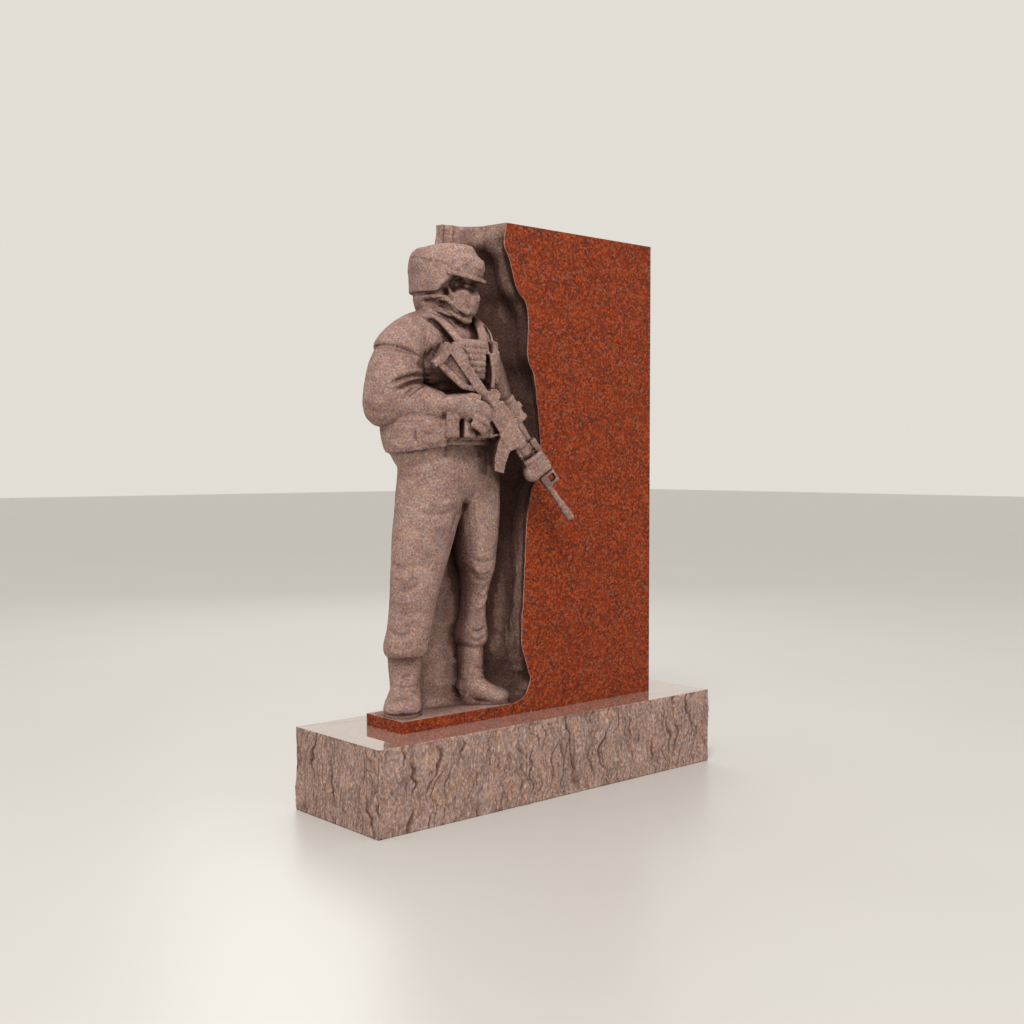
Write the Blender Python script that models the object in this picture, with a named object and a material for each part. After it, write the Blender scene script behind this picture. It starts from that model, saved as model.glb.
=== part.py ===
"""A granite headstone: a rock-pitched base, and on it an upright tablet whose left end is
carved away into a niche, with an armed soldier left standing on the ledge that remains.

Metres, +Z up. The origin is under the middle of the base. The polished inscription face looks
along -Y, and the figure stands at the -X end. Run it in Blender's text editor or with
blender --background --python part.py.
"""

from math import cos, pi, radians, sin

import bmesh
import bpy
from mathutils import Matrix, Vector, noise

# Base, the lower stone
BASE_LENGTH = 1.220
BASE_DEPTH = 0.370
BASE_HEIGHT = 0.216
PITCH_RELIEF = 0.007  # how far the broken sides stand in and out
PITCH_MARGIN = 0.006  # height of the straight strip under the polished top
PITCH_CELL = 0.046  # width of one facet of the broken sides
PITCH_ROWS = 4

# Tablet, the upper stone
TABLET_LENGTH = 0.914
TABLET_DEPTH = 0.156
TABLET_HEIGHT = 1.317
LEDGE_HEIGHT = 0.030  # the stone left under the figure's feet
SEAT_GAP = 0.0003  # between the two stones

# Niche, carved out of the tablet's left end
NICHE_FLOOR_RADIUS = 0.045  # hollow corner between the ledge and the wall behind
NICHE_WALL = 0.026  # thickness of the wall at its thin outer end
SCOOP_DEPTH = 0.016  # how much deeper the niche is cut below the ridge near its top
SCOOP_RIDGE = 0.994  # where that ridge starts at the face, as a share of the height over the ledge
NICHE_ROWS = 18
NICHE_STEPS = 9

# Figure, facing -Y. Its forms are written in millimetres of a figure 1226 mm tall.
FIGURE_HEIGHT = 1.226
FIGURE_FROM_END = 0.212  # from the tablet's left end to the figure's middle
FIGURE_SINK = 0.004  # how far the soles run into the ledge
HEAD_TURN = 25  # degrees to the figure's left
FIGURE_GRAIN = 0.0078  # size of the cells that fuse the forms
FIGURE_SHARE_KEPT = 0.130  # share of the fused faces that the facets keep

STONES = {
    "red_granite": ((0.36, 0.085, 0.04), 0.35),
    "brown_granite": ((0.42, 0.30, 0.25), 0.6),
}

OVERCUT = 0.05  # how far a cutter runs past the stone
LEDGE_TOP = BASE_HEIGHT + SEAT_GAP + LEDGE_HEIGHT
TABLET_BOTTOM = BASE_HEIGHT + SEAT_GAP
TABLET_TOP = TABLET_BOTTOM + TABLET_HEIGHT
LEFT_END = -TABLET_LENGTH / 2
FRONT = -TABLET_DEPTH / 2
BACK = TABLET_DEPTH / 2
UNIT = FIGURE_HEIGHT / 1226.0

# The edge of the polished face beside the niche, and the outer edge of the thin wall behind the
# figure: (share of the height over the ledge, distance from the tablet's left end).
FACE_EDGE = [
    (0.000, 0.372), (0.010, 0.410), (0.030, 0.428), (0.047, 0.436), (0.075, 0.424),
    (0.130, 0.404), (0.220, 0.410), (0.300, 0.416), (0.390, 0.424), (0.445, 0.440),
    (0.480, 0.458), (0.535, 0.473), (0.600, 0.466), (0.640, 0.459), (0.690, 0.449),
    (0.715, 0.430), (0.740, 0.424), (0.800, 0.428), (0.842, 0.418), (0.858, 0.394),
    (0.880, 0.379), (0.925, 0.360), (0.953, 0.342), (0.975, 0.343), (1.000, 0.349),
]
WALL_EDGE = [
    (0.000, 0.110), (0.150, 0.118), (0.350, 0.140), (0.550, 0.158), (0.700, 0.180),
    (0.820, 0.205), (0.910, 0.228), (1.000, 0.238),
]


def clear_scene():
    for obj in list(bpy.data.objects):
        bpy.data.objects.remove(obj)


def stone(name):
    colour, roughness = STONES[name]
    material = bpy.data.materials.get(name) or bpy.data.materials.new(name)
    material.use_nodes = True
    shader = material.node_tree.nodes["Principled BSDF"]
    shader.inputs["Base Color"].default_value = (*colour, 1.0)
    shader.inputs["Roughness"].default_value = roughness
    shader.inputs["Metallic"].default_value = 0.0
    return material


def make_object(name, bm, material=None):
    bmesh.ops.recalc_face_normals(bm, faces=bm.faces)
    mesh = bpy.data.meshes.new(name)
    bm.to_mesh(mesh)
    bm.free()
    obj = bpy.data.objects.new(name, mesh)
    bpy.context.scene.collection.objects.link(obj)
    if material:
        mesh.materials.append(material)
    return obj


def as_helper(obj):
    obj.hide_render = True
    obj.display_type = "WIRE"
    return obj


def along(curve, share):
    """The value of a list of (share, value) at a share, on a smooth curve through its points."""
    last = len(curve) - 1
    index = next((i for i in range(last) if share <= curve[i + 1][0]), last - 1)
    (s0, v0), (s1, v1) = curve[index], curve[index + 1]
    before, after = curve[max(index - 1, 0)], curve[min(index + 2, last)]
    slope0 = (v1 - before[1]) / (s1 - before[0])
    slope1 = (after[1] - v0) / (after[0] - s0)
    t = min(max((share - s0) / (s1 - s0), 0.0), 1.0)
    width = s1 - s0
    return (
        v0 * (1 - t) ** 2 * (1 + 2 * t) + v1 * t * t * (3 - 2 * t)
        + slope0 * width * t * (1 - t) ** 2 - slope1 * width * t * t * (1 - t)
    )


# Stones

def pitched_offset(along_side, height):
    """How far a point of a broken side stands out, from its place along the side and its height."""
    ripple = noise.noise(Vector((along_side * 17.0, height * 4.0, 1.7)))
    lump = noise.noise(Vector((along_side * 5.0, height * 9.0, 6.3)))
    return PITCH_RELIEF * (0.9 * ripple + 0.8 * lump)


def base_outline():
    """Points round the base with each one's outward direction and its place along its side."""
    half_x, half_y = BASE_LENGTH / 2, BASE_DEPTH / 2
    corners = [Vector((-half_x, -half_y, 0)), Vector((half_x, -half_y, 0)),
               Vector((half_x, half_y, 0)), Vector((-half_x, half_y, 0))]
    points, walked = [], 0.0
    for i, start in enumerate(corners):
        end = corners[(i + 1) % 4]
        run = end - start
        out = Vector((run.y, -run.x, 0)).normalized()
        before = Vector(((start - corners[i - 1]).y, -(start - corners[i - 1]).x, 0)).normalized()
        cells = max(2, round(run.length / PITCH_CELL))
        for k in range(cells):
            facing = out if k else (out + before)
            points.append((start + run * (k / cells), facing, walked + run.length * k / cells))
        walked += run.length
    return points


def build_base():
    bm = bmesh.new()
    outline = base_outline()
    inset = PITCH_RELIEF * 1.2
    loops = []
    heights = [0.0] + [
        (BASE_HEIGHT - PITCH_MARGIN) * (row + 0.5) / PITCH_ROWS for row in range(PITCH_ROWS)
    ] + [BASE_HEIGHT - PITCH_MARGIN, BASE_HEIGHT]
    for height in heights:
        held = height in (0.0, BASE_HEIGHT)
        loop = []
        for point, facing, place in outline:
            offset = -inset / 2 if held else pitched_offset(place, height) - inset / 2
            loop.append(bm.verts.new(point + facing * offset + Vector((0, 0, height))))
        loops.append([bm.edges.new((loop[i - 1], loop[i])) for i in range(len(loop))])
    for lower, upper in zip(loops, loops[1:]):
        bmesh.ops.bridge_loops(bm, edges=lower + upper)
    bmesh.ops.contextual_create(bm, geom=loops[0])
    bmesh.ops.contextual_create(bm, geom=loops[-1])
    make_object("base", bm, stone("brown_granite"))


def wall_offset(height, depth):
    """Roughness of the carved wall of the niche."""
    broad = noise.noise(Vector((height * 5.0, depth * 9.0, 2.1)))
    fine = noise.noise(Vector((height * 14.0, depth * 20.0, 8.4)))
    return 0.010 * broad + 0.005 * fine


def scoop(share, depth):
    """How much deeper the wall is cut below the ridge that runs down it from the face's top corner."""
    return SCOOP_DEPTH * max(0.0, min(1.0, (SCOOP_RIDGE - 0.04 * depth - share) / 0.014))


def niche_section(share):
    """One level of the niche's wall, from in front of the polished face to past the back, as
    (x, y) points. It runs straight back from the face's edge, turns round a hollow corner and
    goes left along the thin wall to its outer edge."""
    face = LEFT_END + along(FACE_EDGE, share)
    outer = LEFT_END + along(WALL_EDGE, share)
    wall_y = BACK - NICHE_WALL * (1.5 - 0.5 * share)
    floor = max(0.0, NICHE_FLOOR_RADIUS - share * (TABLET_HEIGHT - LEDGE_HEIGHT))
    swell = 0.0
    if floor:
        swell = NICHE_FLOOR_RADIUS - (NICHE_FLOOR_RADIUS**2 - floor**2) ** 0.5
    corner = min(0.062, (wall_y - FRONT) * 0.6)
    points = [(face, FRONT - OVERCUT), (face, FRONT)]
    straight = wall_y - corner - FRONT
    for step in range(1, NICHE_STEPS // 3 + 1):
        t = step / (NICHE_STEPS // 3)
        x = face - 0.012 * t + scoop(share, t) * min(1.0, t * 3)
        points.append((x - wall_offset(share, t * 0.1), FRONT + straight * t))
    for step in range(1, NICHE_STEPS // 3 + 1):
        turn = step / (NICHE_STEPS // 3) * pi / 2
        x = face - 0.012 - corner * (1 - cos(turn)) + scoop(share, 1.0) * cos(turn)
        y = wall_y - corner + corner * sin(turn)
        x -= wall_offset(share, 0.2 + turn * 0.05)
        y -= wall_offset(share, 0.4 + turn * 0.05)
        points.append((x, y))
    start_x = face - 0.012 - corner
    for step in range(1, NICHE_STEPS // 3 + 1):
        t = step / (NICHE_STEPS // 3)
        y = wall_y - swell * (1 - t) - wall_offset(share, 0.6 + t * 0.2)
        points.append((start_x + (outer - start_x) * t, y))
    points.append((outer - 0.006, BACK))
    points.append((outer - 0.006, BACK + OVERCUT))
    return points


def niche_cutter():
    """What is carved away: everything left of the niche's wall and above the ledge."""
    bm = bmesh.new()
    loops = []
    span = TABLET_TOP - LEDGE_TOP
    for row in range(NICHE_ROWS + 1):
        share = (row / NICHE_ROWS) ** 1.25
        height = LEDGE_TOP + span * share
        if row == NICHE_ROWS:
            height += OVERCUT
        section = niche_section(share)
        left = LEFT_END - OVERCUT
        section += [(left, BACK + OVERCUT), (left, FRONT - OVERCUT)]
        loop = [bm.verts.new((x, y, height)) for x, y in section]
        loops.append([bm.edges.new((loop[i - 1], loop[i])) for i in range(len(loop))])
    for lower, upper in zip(loops, loops[1:]):
        bmesh.ops.bridge_loops(bm, edges=lower + upper)
    bmesh.ops.contextual_create(bm, geom=loops[0])
    bmesh.ops.contextual_create(bm, geom=loops[-1])
    bmesh.ops.triangulate(bm, faces=bm.faces)
    return as_helper(make_object("niche_cutter", bm))


def build_headstone():
    bm = bmesh.new()
    middle = Vector((0, 0, (TABLET_BOTTOM + TABLET_TOP) / 2))
    size = Vector((TABLET_LENGTH, TABLET_DEPTH, TABLET_HEIGHT))
    bmesh.ops.create_cube(bm, size=1.0, matrix=Matrix.Translation(middle) @ Matrix.Diagonal(size).to_4x4())
    headstone = make_object("headstone", bm, stone("red_granite"))
    for name, operation, other in (
        ("Niche", "DIFFERENCE", niche_cutter()),
        ("Figure", "UNION", fused_figure()),
        ("Rifle", "UNION", rifle()),
    ):
        cut = headstone.modifiers.new(name, "BOOLEAN")
        cut.operation = operation
        cut.use_self = name == "Rifle"
        cut.object = other


# Forms of the figure, in its own millimetres

def ring(bm, centre, direction, half_width, half_depth, sides, across=(1, 0, 0), capped=False):
    """An oval of vertices round a point, square to a direction. half_width is along across."""
    axis = Vector(direction).normalized()
    wide = Vector(across) - axis * Vector(across).dot(axis)
    wide.normalize()
    deep = axis.cross(wide)
    frame = Matrix((wide, deep, axis)).transposed().to_4x4()
    place = Matrix.Translation(Vector(centre)) @ frame @ Matrix.Diagonal((half_width, half_depth, 1, 1))
    made = bmesh.ops.create_circle(bm, segments=sides, radius=1.0, cap_ends=capped, matrix=place)
    inside = set(made["verts"])
    return [e for v in inside for e in v.link_edges if e.other_vert(v) in inside and e.verts[0] is v]


def loft(bm, rings, sides=12, across=(1, 0, 0)):
    """A closed form through ovals, each (x, y, z, half_width, half_depth)."""
    centres = [Vector(r[:3]) for r in rings]
    last = len(rings) - 1
    loops = []
    for i, (x, y, z, half_width, half_depth) in enumerate(rings):
        direction = centres[min(i + 1, last)] - centres[max(i - 1, 0)]
        loops.append(
            ring(bm, (x, y, z), direction, half_width, half_depth, sides, across, i in (0, last))
        )
    for first, second in zip(loops, loops[1:]):
        bmesh.ops.bridge_loops(bm, edges=first + second)


def ball(bm, centre, radii, turn=0.0, tilt=0.0):
    """An ellipsoid, turned about the vertical and tilted about its own width, in degrees."""
    place = (
        Matrix.Translation(Vector(centre)) @ Matrix.Rotation(radians(turn), 4, "Z")
        @ Matrix.Rotation(radians(tilt), 4, "X") @ Matrix.Diagonal((*radii, 1.0))
    )
    bmesh.ops.create_icosphere(bm, subdivisions=3, radius=1.0, matrix=place)


def block(bm, centre, size, turn=0.0, tilt=0.0, lean=0.0):
    """A box turned about Z, tilted about its own X and leaned about its own Y, in degrees."""
    place = (
        Matrix.Translation(Vector(centre)) @ Matrix.Rotation(radians(turn), 4, "Z")
        @ Matrix.Rotation(radians(tilt), 4, "X") @ Matrix.Rotation(radians(lean), 4, "Y")
        @ Matrix.Diagonal((*size, 1.0))
    )
    bmesh.ops.create_cube(bm, size=1.0, matrix=place)


def trousers(bm):
    loft(bm, [  # seat
        (10, 18, 540, 40, 34), (7, 10, 574, 100, 64), (6, 0, 625, 144, 75), (4, 0, 665, 144, 76),
        (2, 1, 706, 136, 75),
    ])
    loft(bm, [  # right leg
        (-40, 14, 700, 82, 78), (-42, 14, 660, 93, 87), (-46, 14, 612, 93, 89),
        (-55, 17, 545, 90, 87), (-69, 18, 480, 83, 83), (-85, 16, 415, 76, 76),
        (-99, 16, 345, 66, 68), (-105, 20, 290, 61, 64), (-111, 24, 240, 58, 60),
        (-116, 30, 200, 57, 58), (-119, 33, 174, 59, 59), (-120, 34, 152, 50, 49),
    ])
    loft(bm, [  # left leg
        (66, 8, 690, 70, 68), (72, 3, 640, 82, 73), (78, 3, 600, 83, 73), (86, 5, 540, 78, 71),
        (92, 6, 480, 69, 67), (95, 9, 425, 60, 64), (98, 8, 378, 51, 58), (98, 14, 330, 39, 48),
        (97, 20, 285, 34, 43), (96, 22, 240, 37, 44), (95, 24, 205, 46, 48), (94, 25, 178, 48, 50),
        (94, 26, 158, 38, 38),
    ])


def boot(bm, ankle, turn, width):
    """A boot whose toe points along -Y before it is turned about its ankle, in degrees."""
    place = (
        Matrix.Translation(Vector(ankle)) @ Matrix.Rotation(radians(turn), 4, "Z")
        @ Matrix.Diagonal((width, 1.0, 1.0, 1.0))
    )
    start = len(bm.verts)
    loft(bm, [(0, 2, 175, 38, 38), (0, 2, 110, 36, 37), (0, 1, 70, 34, 39), (0, 0, 40, 35, 40),
              (0, -1, 8, 35, 41), (0, -1, -8, 34, 40)])
    loft(bm, [(0, 28, 30, 33, 30), (0, 4, 42, 35, 44), (0, -30, 32, 40, 36), (0, -62, 23, 42, 29),
              (0, -86, 19, 35, 24), (0, -101, 15, 18, 14)])
    block(bm, (0, -28, 0), (74, 126, 16))
    bm.verts.ensure_lookup_table()
    bmesh.ops.transform(bm, matrix=place, verts=bm.verts[start:])


def cut(bm, point, facing):
    """Cuts off everything on one side of a plane and closes the cut."""
    made = bmesh.ops.bisect_plane(
        bm, geom=bm.verts[:] + bm.edges[:] + bm.faces[:], plane_co=point, plane_no=facing,
        clear_outer=True,
    )
    rim = [e for e in made["geom_cut"] if isinstance(e, bmesh.types.BMEdge)]
    bmesh.ops.contextual_create(bm, geom=rim)


def merge(bm, other, place=Matrix.Identity(4)):
    """Moves other forms in, placed by a matrix."""
    bmesh.ops.transform(other, matrix=place, verts=other.verts)
    mesh = bpy.data.meshes.new("forms")
    other.to_mesh(mesh)
    other.free()
    bm.from_mesh(mesh)
    bpy.data.meshes.remove(mesh)


def skirt(bm):
    loft(bm, [  # bloused over the belt
        (-6, 13, 700, 136, 86), (-8, 14, 708, 150, 96), (-12, 14, 728, 158, 100),
        (-12, 14, 760, 158, 102), (-8, 14, 792, 142, 98), (-4, 14, 812, 124, 92),
    ], sides=16)
    hip = bmesh.new()
    loft(hip, [  # lower at the right hip
        (-8, 15, 682, 112, 74), (-10, 15, 686, 132, 88), (-12, 15, 692, 148, 98),
        (-13, 16, 701, 160, 106), (-15, 16, 716, 172, 113), (-16, 16, 744, 177, 117),
        (-16, 16, 768, 172, 114), (-14, 16, 800, 150, 104),
    ], sides=20)
    cut(hip, (-74, -87, 0), (0.97, -0.24, 0))
    merge(bm, hip)


def trunk(bm):
    loft(bm, [
        (0, 13, 690, 132, 84), (4, 15, 760, 124, 86), (14, 20, 800, 106, 78), (18, 22, 850, 99, 73),
        (14, 20, 882, 106, 80), (0, 18, 918, 134, 93), (-4, 18, 940, 143, 95),
        (-6, 20, 984, 128, 82), (-4, 22, 1020, 92, 68), (0, 20, 1052, 56, 54),
    ], sides=16)
    loft(bm, [  # jacket under the left arm
        (96, 26, 740, 36, 44), (108, 28, 780, 44, 50), (110, 28, 850, 42, 50), (100, 28, 900, 36, 46),
    ])


def sleeves(bm):
    loft(bm, [  # right, upper
        (-70, 20, 1002, 48, 48), (-108, 22, 966, 62, 60), (-136, 26, 922, 74, 71),
        (-154, 28, 876, 78, 74), (-162, 30, 828, 76, 74), (-164, 31, 798, 72, 73),
        (-160, 30, 772, 58, 60), (-156, 30, 757, 34, 38),
    ], across=(0, 1, 0))
    loft(bm, [  # right shoulder, down to its hem
        (-58, 18, 1018, 42, 42), (-92, 22, 992, 57, 55), (-120, 24, 963, 70, 66),
        (-137, 26, 936, 77, 72), (-142, 26, 927, 73, 68),
    ], across=(0, 1, 0))
    ball(bm, (-72, 30, 1011), (50, 52, 38))
    loft(bm, [  # right, lower
        (-176, 42, 812, 54, 52), (-164, 24, 811, 59, 58), (-146, 2, 810, 57, 57),
        (-124, -26, 808, 52, 51), (-102, -54, 804, 44, 43), (-84, -78, 802, 34, 33),
        (-79, -84, 802, 28, 27),
    ], across=(0, 0, 1))
    loft(bm, [  # left, upper
        (70, 22, 1008, 44, 48), (104, 22, 972, 53, 54), (130, 18, 922, 55, 56),
        (152, 14, 868, 53, 54), (172, 10, 814, 49, 50), (180, 8, 780, 38, 40),
    ], across=(0, 1, 0))
    loft(bm, [  # left, lower
        (182, 26, 822, 38, 38), (182, 4, 796, 44, 43), (184, -28, 756, 40, 39),
        (186, -66, 716, 35, 34), (186, -98, 684, 28, 27),
    ], across=(0, 0, 1))


def vest(bm):
    block(bm, (6, -82, 920), (84, 44, 106), tilt=3)  # chest panel
    block(bm, (4, 104, 900), (156, 42, 180), tilt=-3)  # back plate
    block(bm, (78, -77, 906), (30, 36, 96), turn=24)  # radio
    for line in (
        ((-50, 106, 950), (-64, 70, 1008), (-74, 22, 1043), (-67, -12, 1037), (-58, -40, 1021),
         (-49, -66, 998), (-41, -88, 970), (-38, -99, 945)),
        ((50, 106, 950), (62, 66, 1010), (66, 14, 1044), (64, -34, 1030), (52, -72, 998),
         (42, -98, 944)),
    ):
        loft(bm, [(*point, 14, 9) for point in line])
    loft(bm, [(2, 12, 701, 145, 106), (2, 12, 719, 145, 106)], sides=16)  # belt
    for x, y, turn in ((-63, -90, -26), (-21, -103, -9), (18, -105, 0), (56, -98, 14)):
        block(bm, (x, y, 752), (38, 38, 68), turn=turn)
    block(bm, (102, -72, 752), (44, 42, 68), turn=36)
    block(bm, (142, 20, 752), (32, 70, 62))
    block(bm, (30, 110, 790), (108, 34, 68))


def helmet(bm):
    """A dome with upright sides, cut off along a rim that rises over the ears to a brim."""
    levels = [
        (0, 0, -60, 82, 99), (0, 0, 2, 84, 102), (0, 0, 30, 84, 102), (0, -2, 58, 78, 96),
        (0, -3, 74, 65, 81), (0, -4, 85, 46, 58), (0, -4, 92, 18, 22),
    ]
    ear = ((0, -24, -31), (0, -0.717, -0.697))
    brim_under = ((0, -54, 1), (0, 0.26, -0.966))
    brim_top = ((0, -51.7, 9.7), (0, -0.26, 0.966))
    shell = bmesh.new()
    for swell, planes in (
        (0.0, (((0, 0, -38), (0, 0.02, -1)), ear)),
        (0.0, (brim_under,)),
        (10.5, (brim_under, brim_top, ((0, -46, 0), (0, 1, 0)))),
    ):
        dome = bmesh.new()
        loft(dome, [(x, y, z, w + swell, d + swell) for x, y, z, w, d in levels], sides=24)
        for point, facing in planes:
            cut(dome, point, facing)
        merge(shell, dome)
    block(shell, (0, -101, 26), (38, 24, 46), tilt=-8)
    merge(bm, shell, Matrix.Translation((0, 12, 1136)) @ Matrix.Rotation(radians(HEAD_TURN), 4, "Z"))


def head(bm):
    loft(bm, [(-4, 22, 1006, 82, 68), (-3, 20, 1028, 72, 64), (0, 16, 1050, 62, 58)])
    loft(bm, [  # scarf
        (-4, 20, 1036, 62, 58), (-5, 24, 1052, 61, 58), (-6, 27, 1068, 66, 62),
        (-6, 28, 1084, 73, 68), (-6, 27, 1102, 70, 66),
    ])
    loft(bm, [
        (-50, 60, 1062, 11, 9), (-61, 22, 1060, 11, 9), (-46, -26, 1050, 11, 9),
        (-14, -52, 1034, 11, 9), (14, -58, 1024, 11, 9), (34, -40, 1030, 11, 9),
    ])
    face = bmesh.new()
    ball(face, (0, -2, 1116), (60, 77, 74))
    ball(face, (0, -32, 1078), (50, 54, 46))
    ball(face, (0, -56, 1052), (31, 28, 20))
    loft(face, [
        (0, -58, 1040, 15, 13), (0, -68, 1058, 25, 17), (0, -76, 1078, 22, 18), (0, -70, 1096, 16, 15),
    ])
    loft(face, [(0, -88, 1078, 9, 8), (0, -91, 1087, 9, 8), (0, -80, 1110, 8, 8)])
    merge(bm, face, Matrix.Translation((2, 8, 0)) @ Matrix.Rotation(radians(HEAD_TURN), 4, "Z"))
    helmet(bm)


def hands(bm):
    loft(bm, [  # right
        (-90, -72, 802, 26, 24), (-50, -106, 802, 30, 25), (-26, -120, 796, 35, 25),
        (-8, -132, 782, 38, 20), (10, -142, 772, 36, 14),
    ], across=(0, 0, 1))
    ball(bm, (8, -138, 756), (22, 17, 30))
    loft(bm, [(186, -92, 690, 27, 25), (184, -118, 664, 28, 27), (180, -136, 644, 31, 27)])
    ball(bm, (174, -152, 636), (34, 29, 31))


def fused_figure():
    bm = bmesh.new()
    for form in (trousers, skirt, trunk, sleeves, vest, head, hands):
        form(bm)
    boot(bm, (-119, 38, 0), turn=-42, width=1.20)
    boot(bm, (93, 24, 0), turn=40, width=1.0)
    place_figure(bm)
    figure = as_helper(make_object("figure_forms", bm))
    fuse = figure.modifiers.new("Fuse", "REMESH")
    fuse.mode = "VOXEL"
    fuse.voxel_size = FIGURE_GRAIN
    soften = figure.modifiers.new("Soften", "SMOOTH")
    soften.iterations = 2
    facet = figure.modifiers.new("Facet", "DECIMATE")
    facet.ratio = FIGURE_SHARE_KEPT
    return figure


def place_figure(bm):
    """Takes forms from the figure's millimetres to their place on the ledge."""
    foot = Vector((LEFT_END + FIGURE_FROM_END, 0, LEDGE_TOP - FIGURE_SINK))
    place = Matrix.Translation(foot) @ Matrix.Scale(UNIT, 4)
    bmesh.ops.transform(bm, matrix=place, verts=bm.verts)


# Rifle, in the figure's millimetres

BUTT = Vector((-73, -99, 955))
MUZZLE = Vector((293, -162, 505))
SIGHTS_FACE = Vector((0.66, -0.25, 0.62))
RIFLE_LENGTH = (MUZZLE - BUTT).length


def rifle_frame():
    """Local +X runs from the butt to the muzzle and local +Z to the sights."""
    forward = (MUZZLE - BUTT).normalized()
    up = (SIGHTS_FACE - forward * SIGHTS_FACE.dot(forward)).normalized()
    return Matrix.Translation(BUTT) @ Matrix((forward, up.cross(forward), up)).transposed().to_4x4()


def wedge(bm, outline, width):
    """A plate of some width whose side is an outline of (distance from the butt, height)."""
    side = [bm.verts.new((x, -width / 2, z)) for x, z in outline]
    face = bm.faces.new(side)
    grown = bmesh.ops.extrude_face_region(bm, geom=[face])
    moved = [v for v in grown["geom"] if isinstance(v, bmesh.types.BMVert)]
    bmesh.ops.translate(bm, verts=moved, vec=(0, width, 0))


def bar(bm, start, end, height, radius, sides=10):
    """A round bar along the rifle, between two distances from the butt."""
    place = Matrix.Translation(((start + end) / 2, 0, height)) @ Matrix.Rotation(pi / 2, 4, "Y")
    bmesh.ops.create_cone(
        bm, cap_ends=True, segments=sides, radius1=radius, radius2=radius, depth=end - start,
        matrix=place,
    )


def rifle():
    bm = bmesh.new()
    wedge(bm, [(-12, -4), (-8, -18), (4, -40), (4, -68), (20, -70), (22, -36), (6, 4)], 27)  # butt pad
    wedge(bm, [(0, -17), (0, 12), (16, 19), (40, 18), (74, 9), (190, 8), (190, -20), (110, -18)], 24)
    wedge(bm, [(8, -14), (12, -62), (106, -45), (142, -18)], 16)  # stock's lower frame
    wedge(bm, [(176, -18), (200, -34), (318, -34), (324, -16), (324, 20), (180, 22)], 28)  # receiver
    wedge(bm, [(192, -26), (222, -28), (206, -84), (180, -80)], 24)  # grip
    wedge(bm, [(268, -30), (318, -30), (340, -64), (356, -84), (333, -102), (292, -66)], 20)  # magazine
    bar(bm, 314, 424, 0, 17)  # handguard
    wedge(bm, [(330, 10), (424, 10), (424, 36), (340, 36)], 20)  # rail
    wedge(bm, [(204, 16), (278, 16), (278, 54), (266, 60), (214, 60), (204, 52)], 34)  # sight
    wedge(bm, [(434, 0), (468, 0), (462, 34), (446, 34)], 14)  # front post
    bar(bm, 410, RIFLE_LENGTH, 0, 9)  # barrel
    bar(bm, RIFLE_LENGTH - 52, RIFLE_LENGTH, 0, 11.5)  # muzzle
    bmesh.ops.transform(bm, matrix=rifle_frame(), verts=bm.verts)
    place_figure(bm)
    return as_helper(make_object("rifle_forms", bm))


clear_scene()
build_base()
build_headstone()
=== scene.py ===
"""Looks of a granite headstone: a rock-pitched base of brown granite and, on it, a tablet of
polished red granite whose left end is carved away around a standing soldier.

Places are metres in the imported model's frame. The soldier's and the rifle's forms are written in
millimetres of the figure: the origin is on the ledge between the boots, +Z is up and the figure
faces -Y, so its right hand is at -X.
"""

from __future__ import annotations

import logging
import sys
from dataclasses import dataclass, field
from enum import Enum
from math import cos, exp, pi, radians, sin

import bmesh
import bpy
from mathutils import Matrix, Vector, noise
from mathutils.bvhtree import BVHTree
from mathutils.kdtree import KDTree


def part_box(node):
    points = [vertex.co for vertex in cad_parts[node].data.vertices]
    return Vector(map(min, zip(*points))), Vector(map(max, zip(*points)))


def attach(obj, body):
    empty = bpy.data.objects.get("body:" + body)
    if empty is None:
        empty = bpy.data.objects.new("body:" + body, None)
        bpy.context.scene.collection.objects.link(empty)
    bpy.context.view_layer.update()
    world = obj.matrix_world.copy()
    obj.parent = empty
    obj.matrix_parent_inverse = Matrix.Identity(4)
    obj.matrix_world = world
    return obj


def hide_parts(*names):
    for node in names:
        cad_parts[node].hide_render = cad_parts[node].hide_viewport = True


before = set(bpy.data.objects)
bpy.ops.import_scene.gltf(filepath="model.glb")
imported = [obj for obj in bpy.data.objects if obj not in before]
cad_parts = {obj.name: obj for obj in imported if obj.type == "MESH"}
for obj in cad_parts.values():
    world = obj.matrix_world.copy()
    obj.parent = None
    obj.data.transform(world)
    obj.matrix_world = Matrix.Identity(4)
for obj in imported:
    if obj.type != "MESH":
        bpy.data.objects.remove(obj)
LOG = logging.getLogger("headstone")

MM = 0.001
Point = tuple[float, float, float]
Ring = tuple[float, float, float, float, float]


class Side(Enum):
    """A side that a mark is drawn from, as the drawing's turn about the vertical in degrees."""

    FRONT = 0.0
    QUARTER = -41.6
    BACK = 180.0


# Geometry helpers


def curve_value(curve: list[tuple[float, float]], share: float) -> float:
    """Read a smooth curve through (share, value) points.

    Args:
        curve: Points in order of share.
        share: Where to read it.

    Returns:
        The value there.
    """
    last = len(curve) - 1
    index = next((i for i in range(last) if share <= curve[i + 1][0]), last - 1)
    (s0, v0), (s1, v1) = curve[index], curve[index + 1]
    before, after = curve[max(index - 1, 0)], curve[min(index + 2, last)]
    slope0 = (v1 - before[1]) / (s1 - before[0])
    slope1 = (after[1] - v0) / (after[0] - s0)
    width = s1 - s0
    t = min(max((share - s0) / width, 0.0), 1.0)
    return (
        v0 * (1 - t) ** 2 * (1 + 2 * t) + v1 * t * t * (3 - 2 * t)
        + slope0 * width * t * (1 - t) ** 2 - slope1 * width * t * t * (1 - t)
    )


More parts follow.
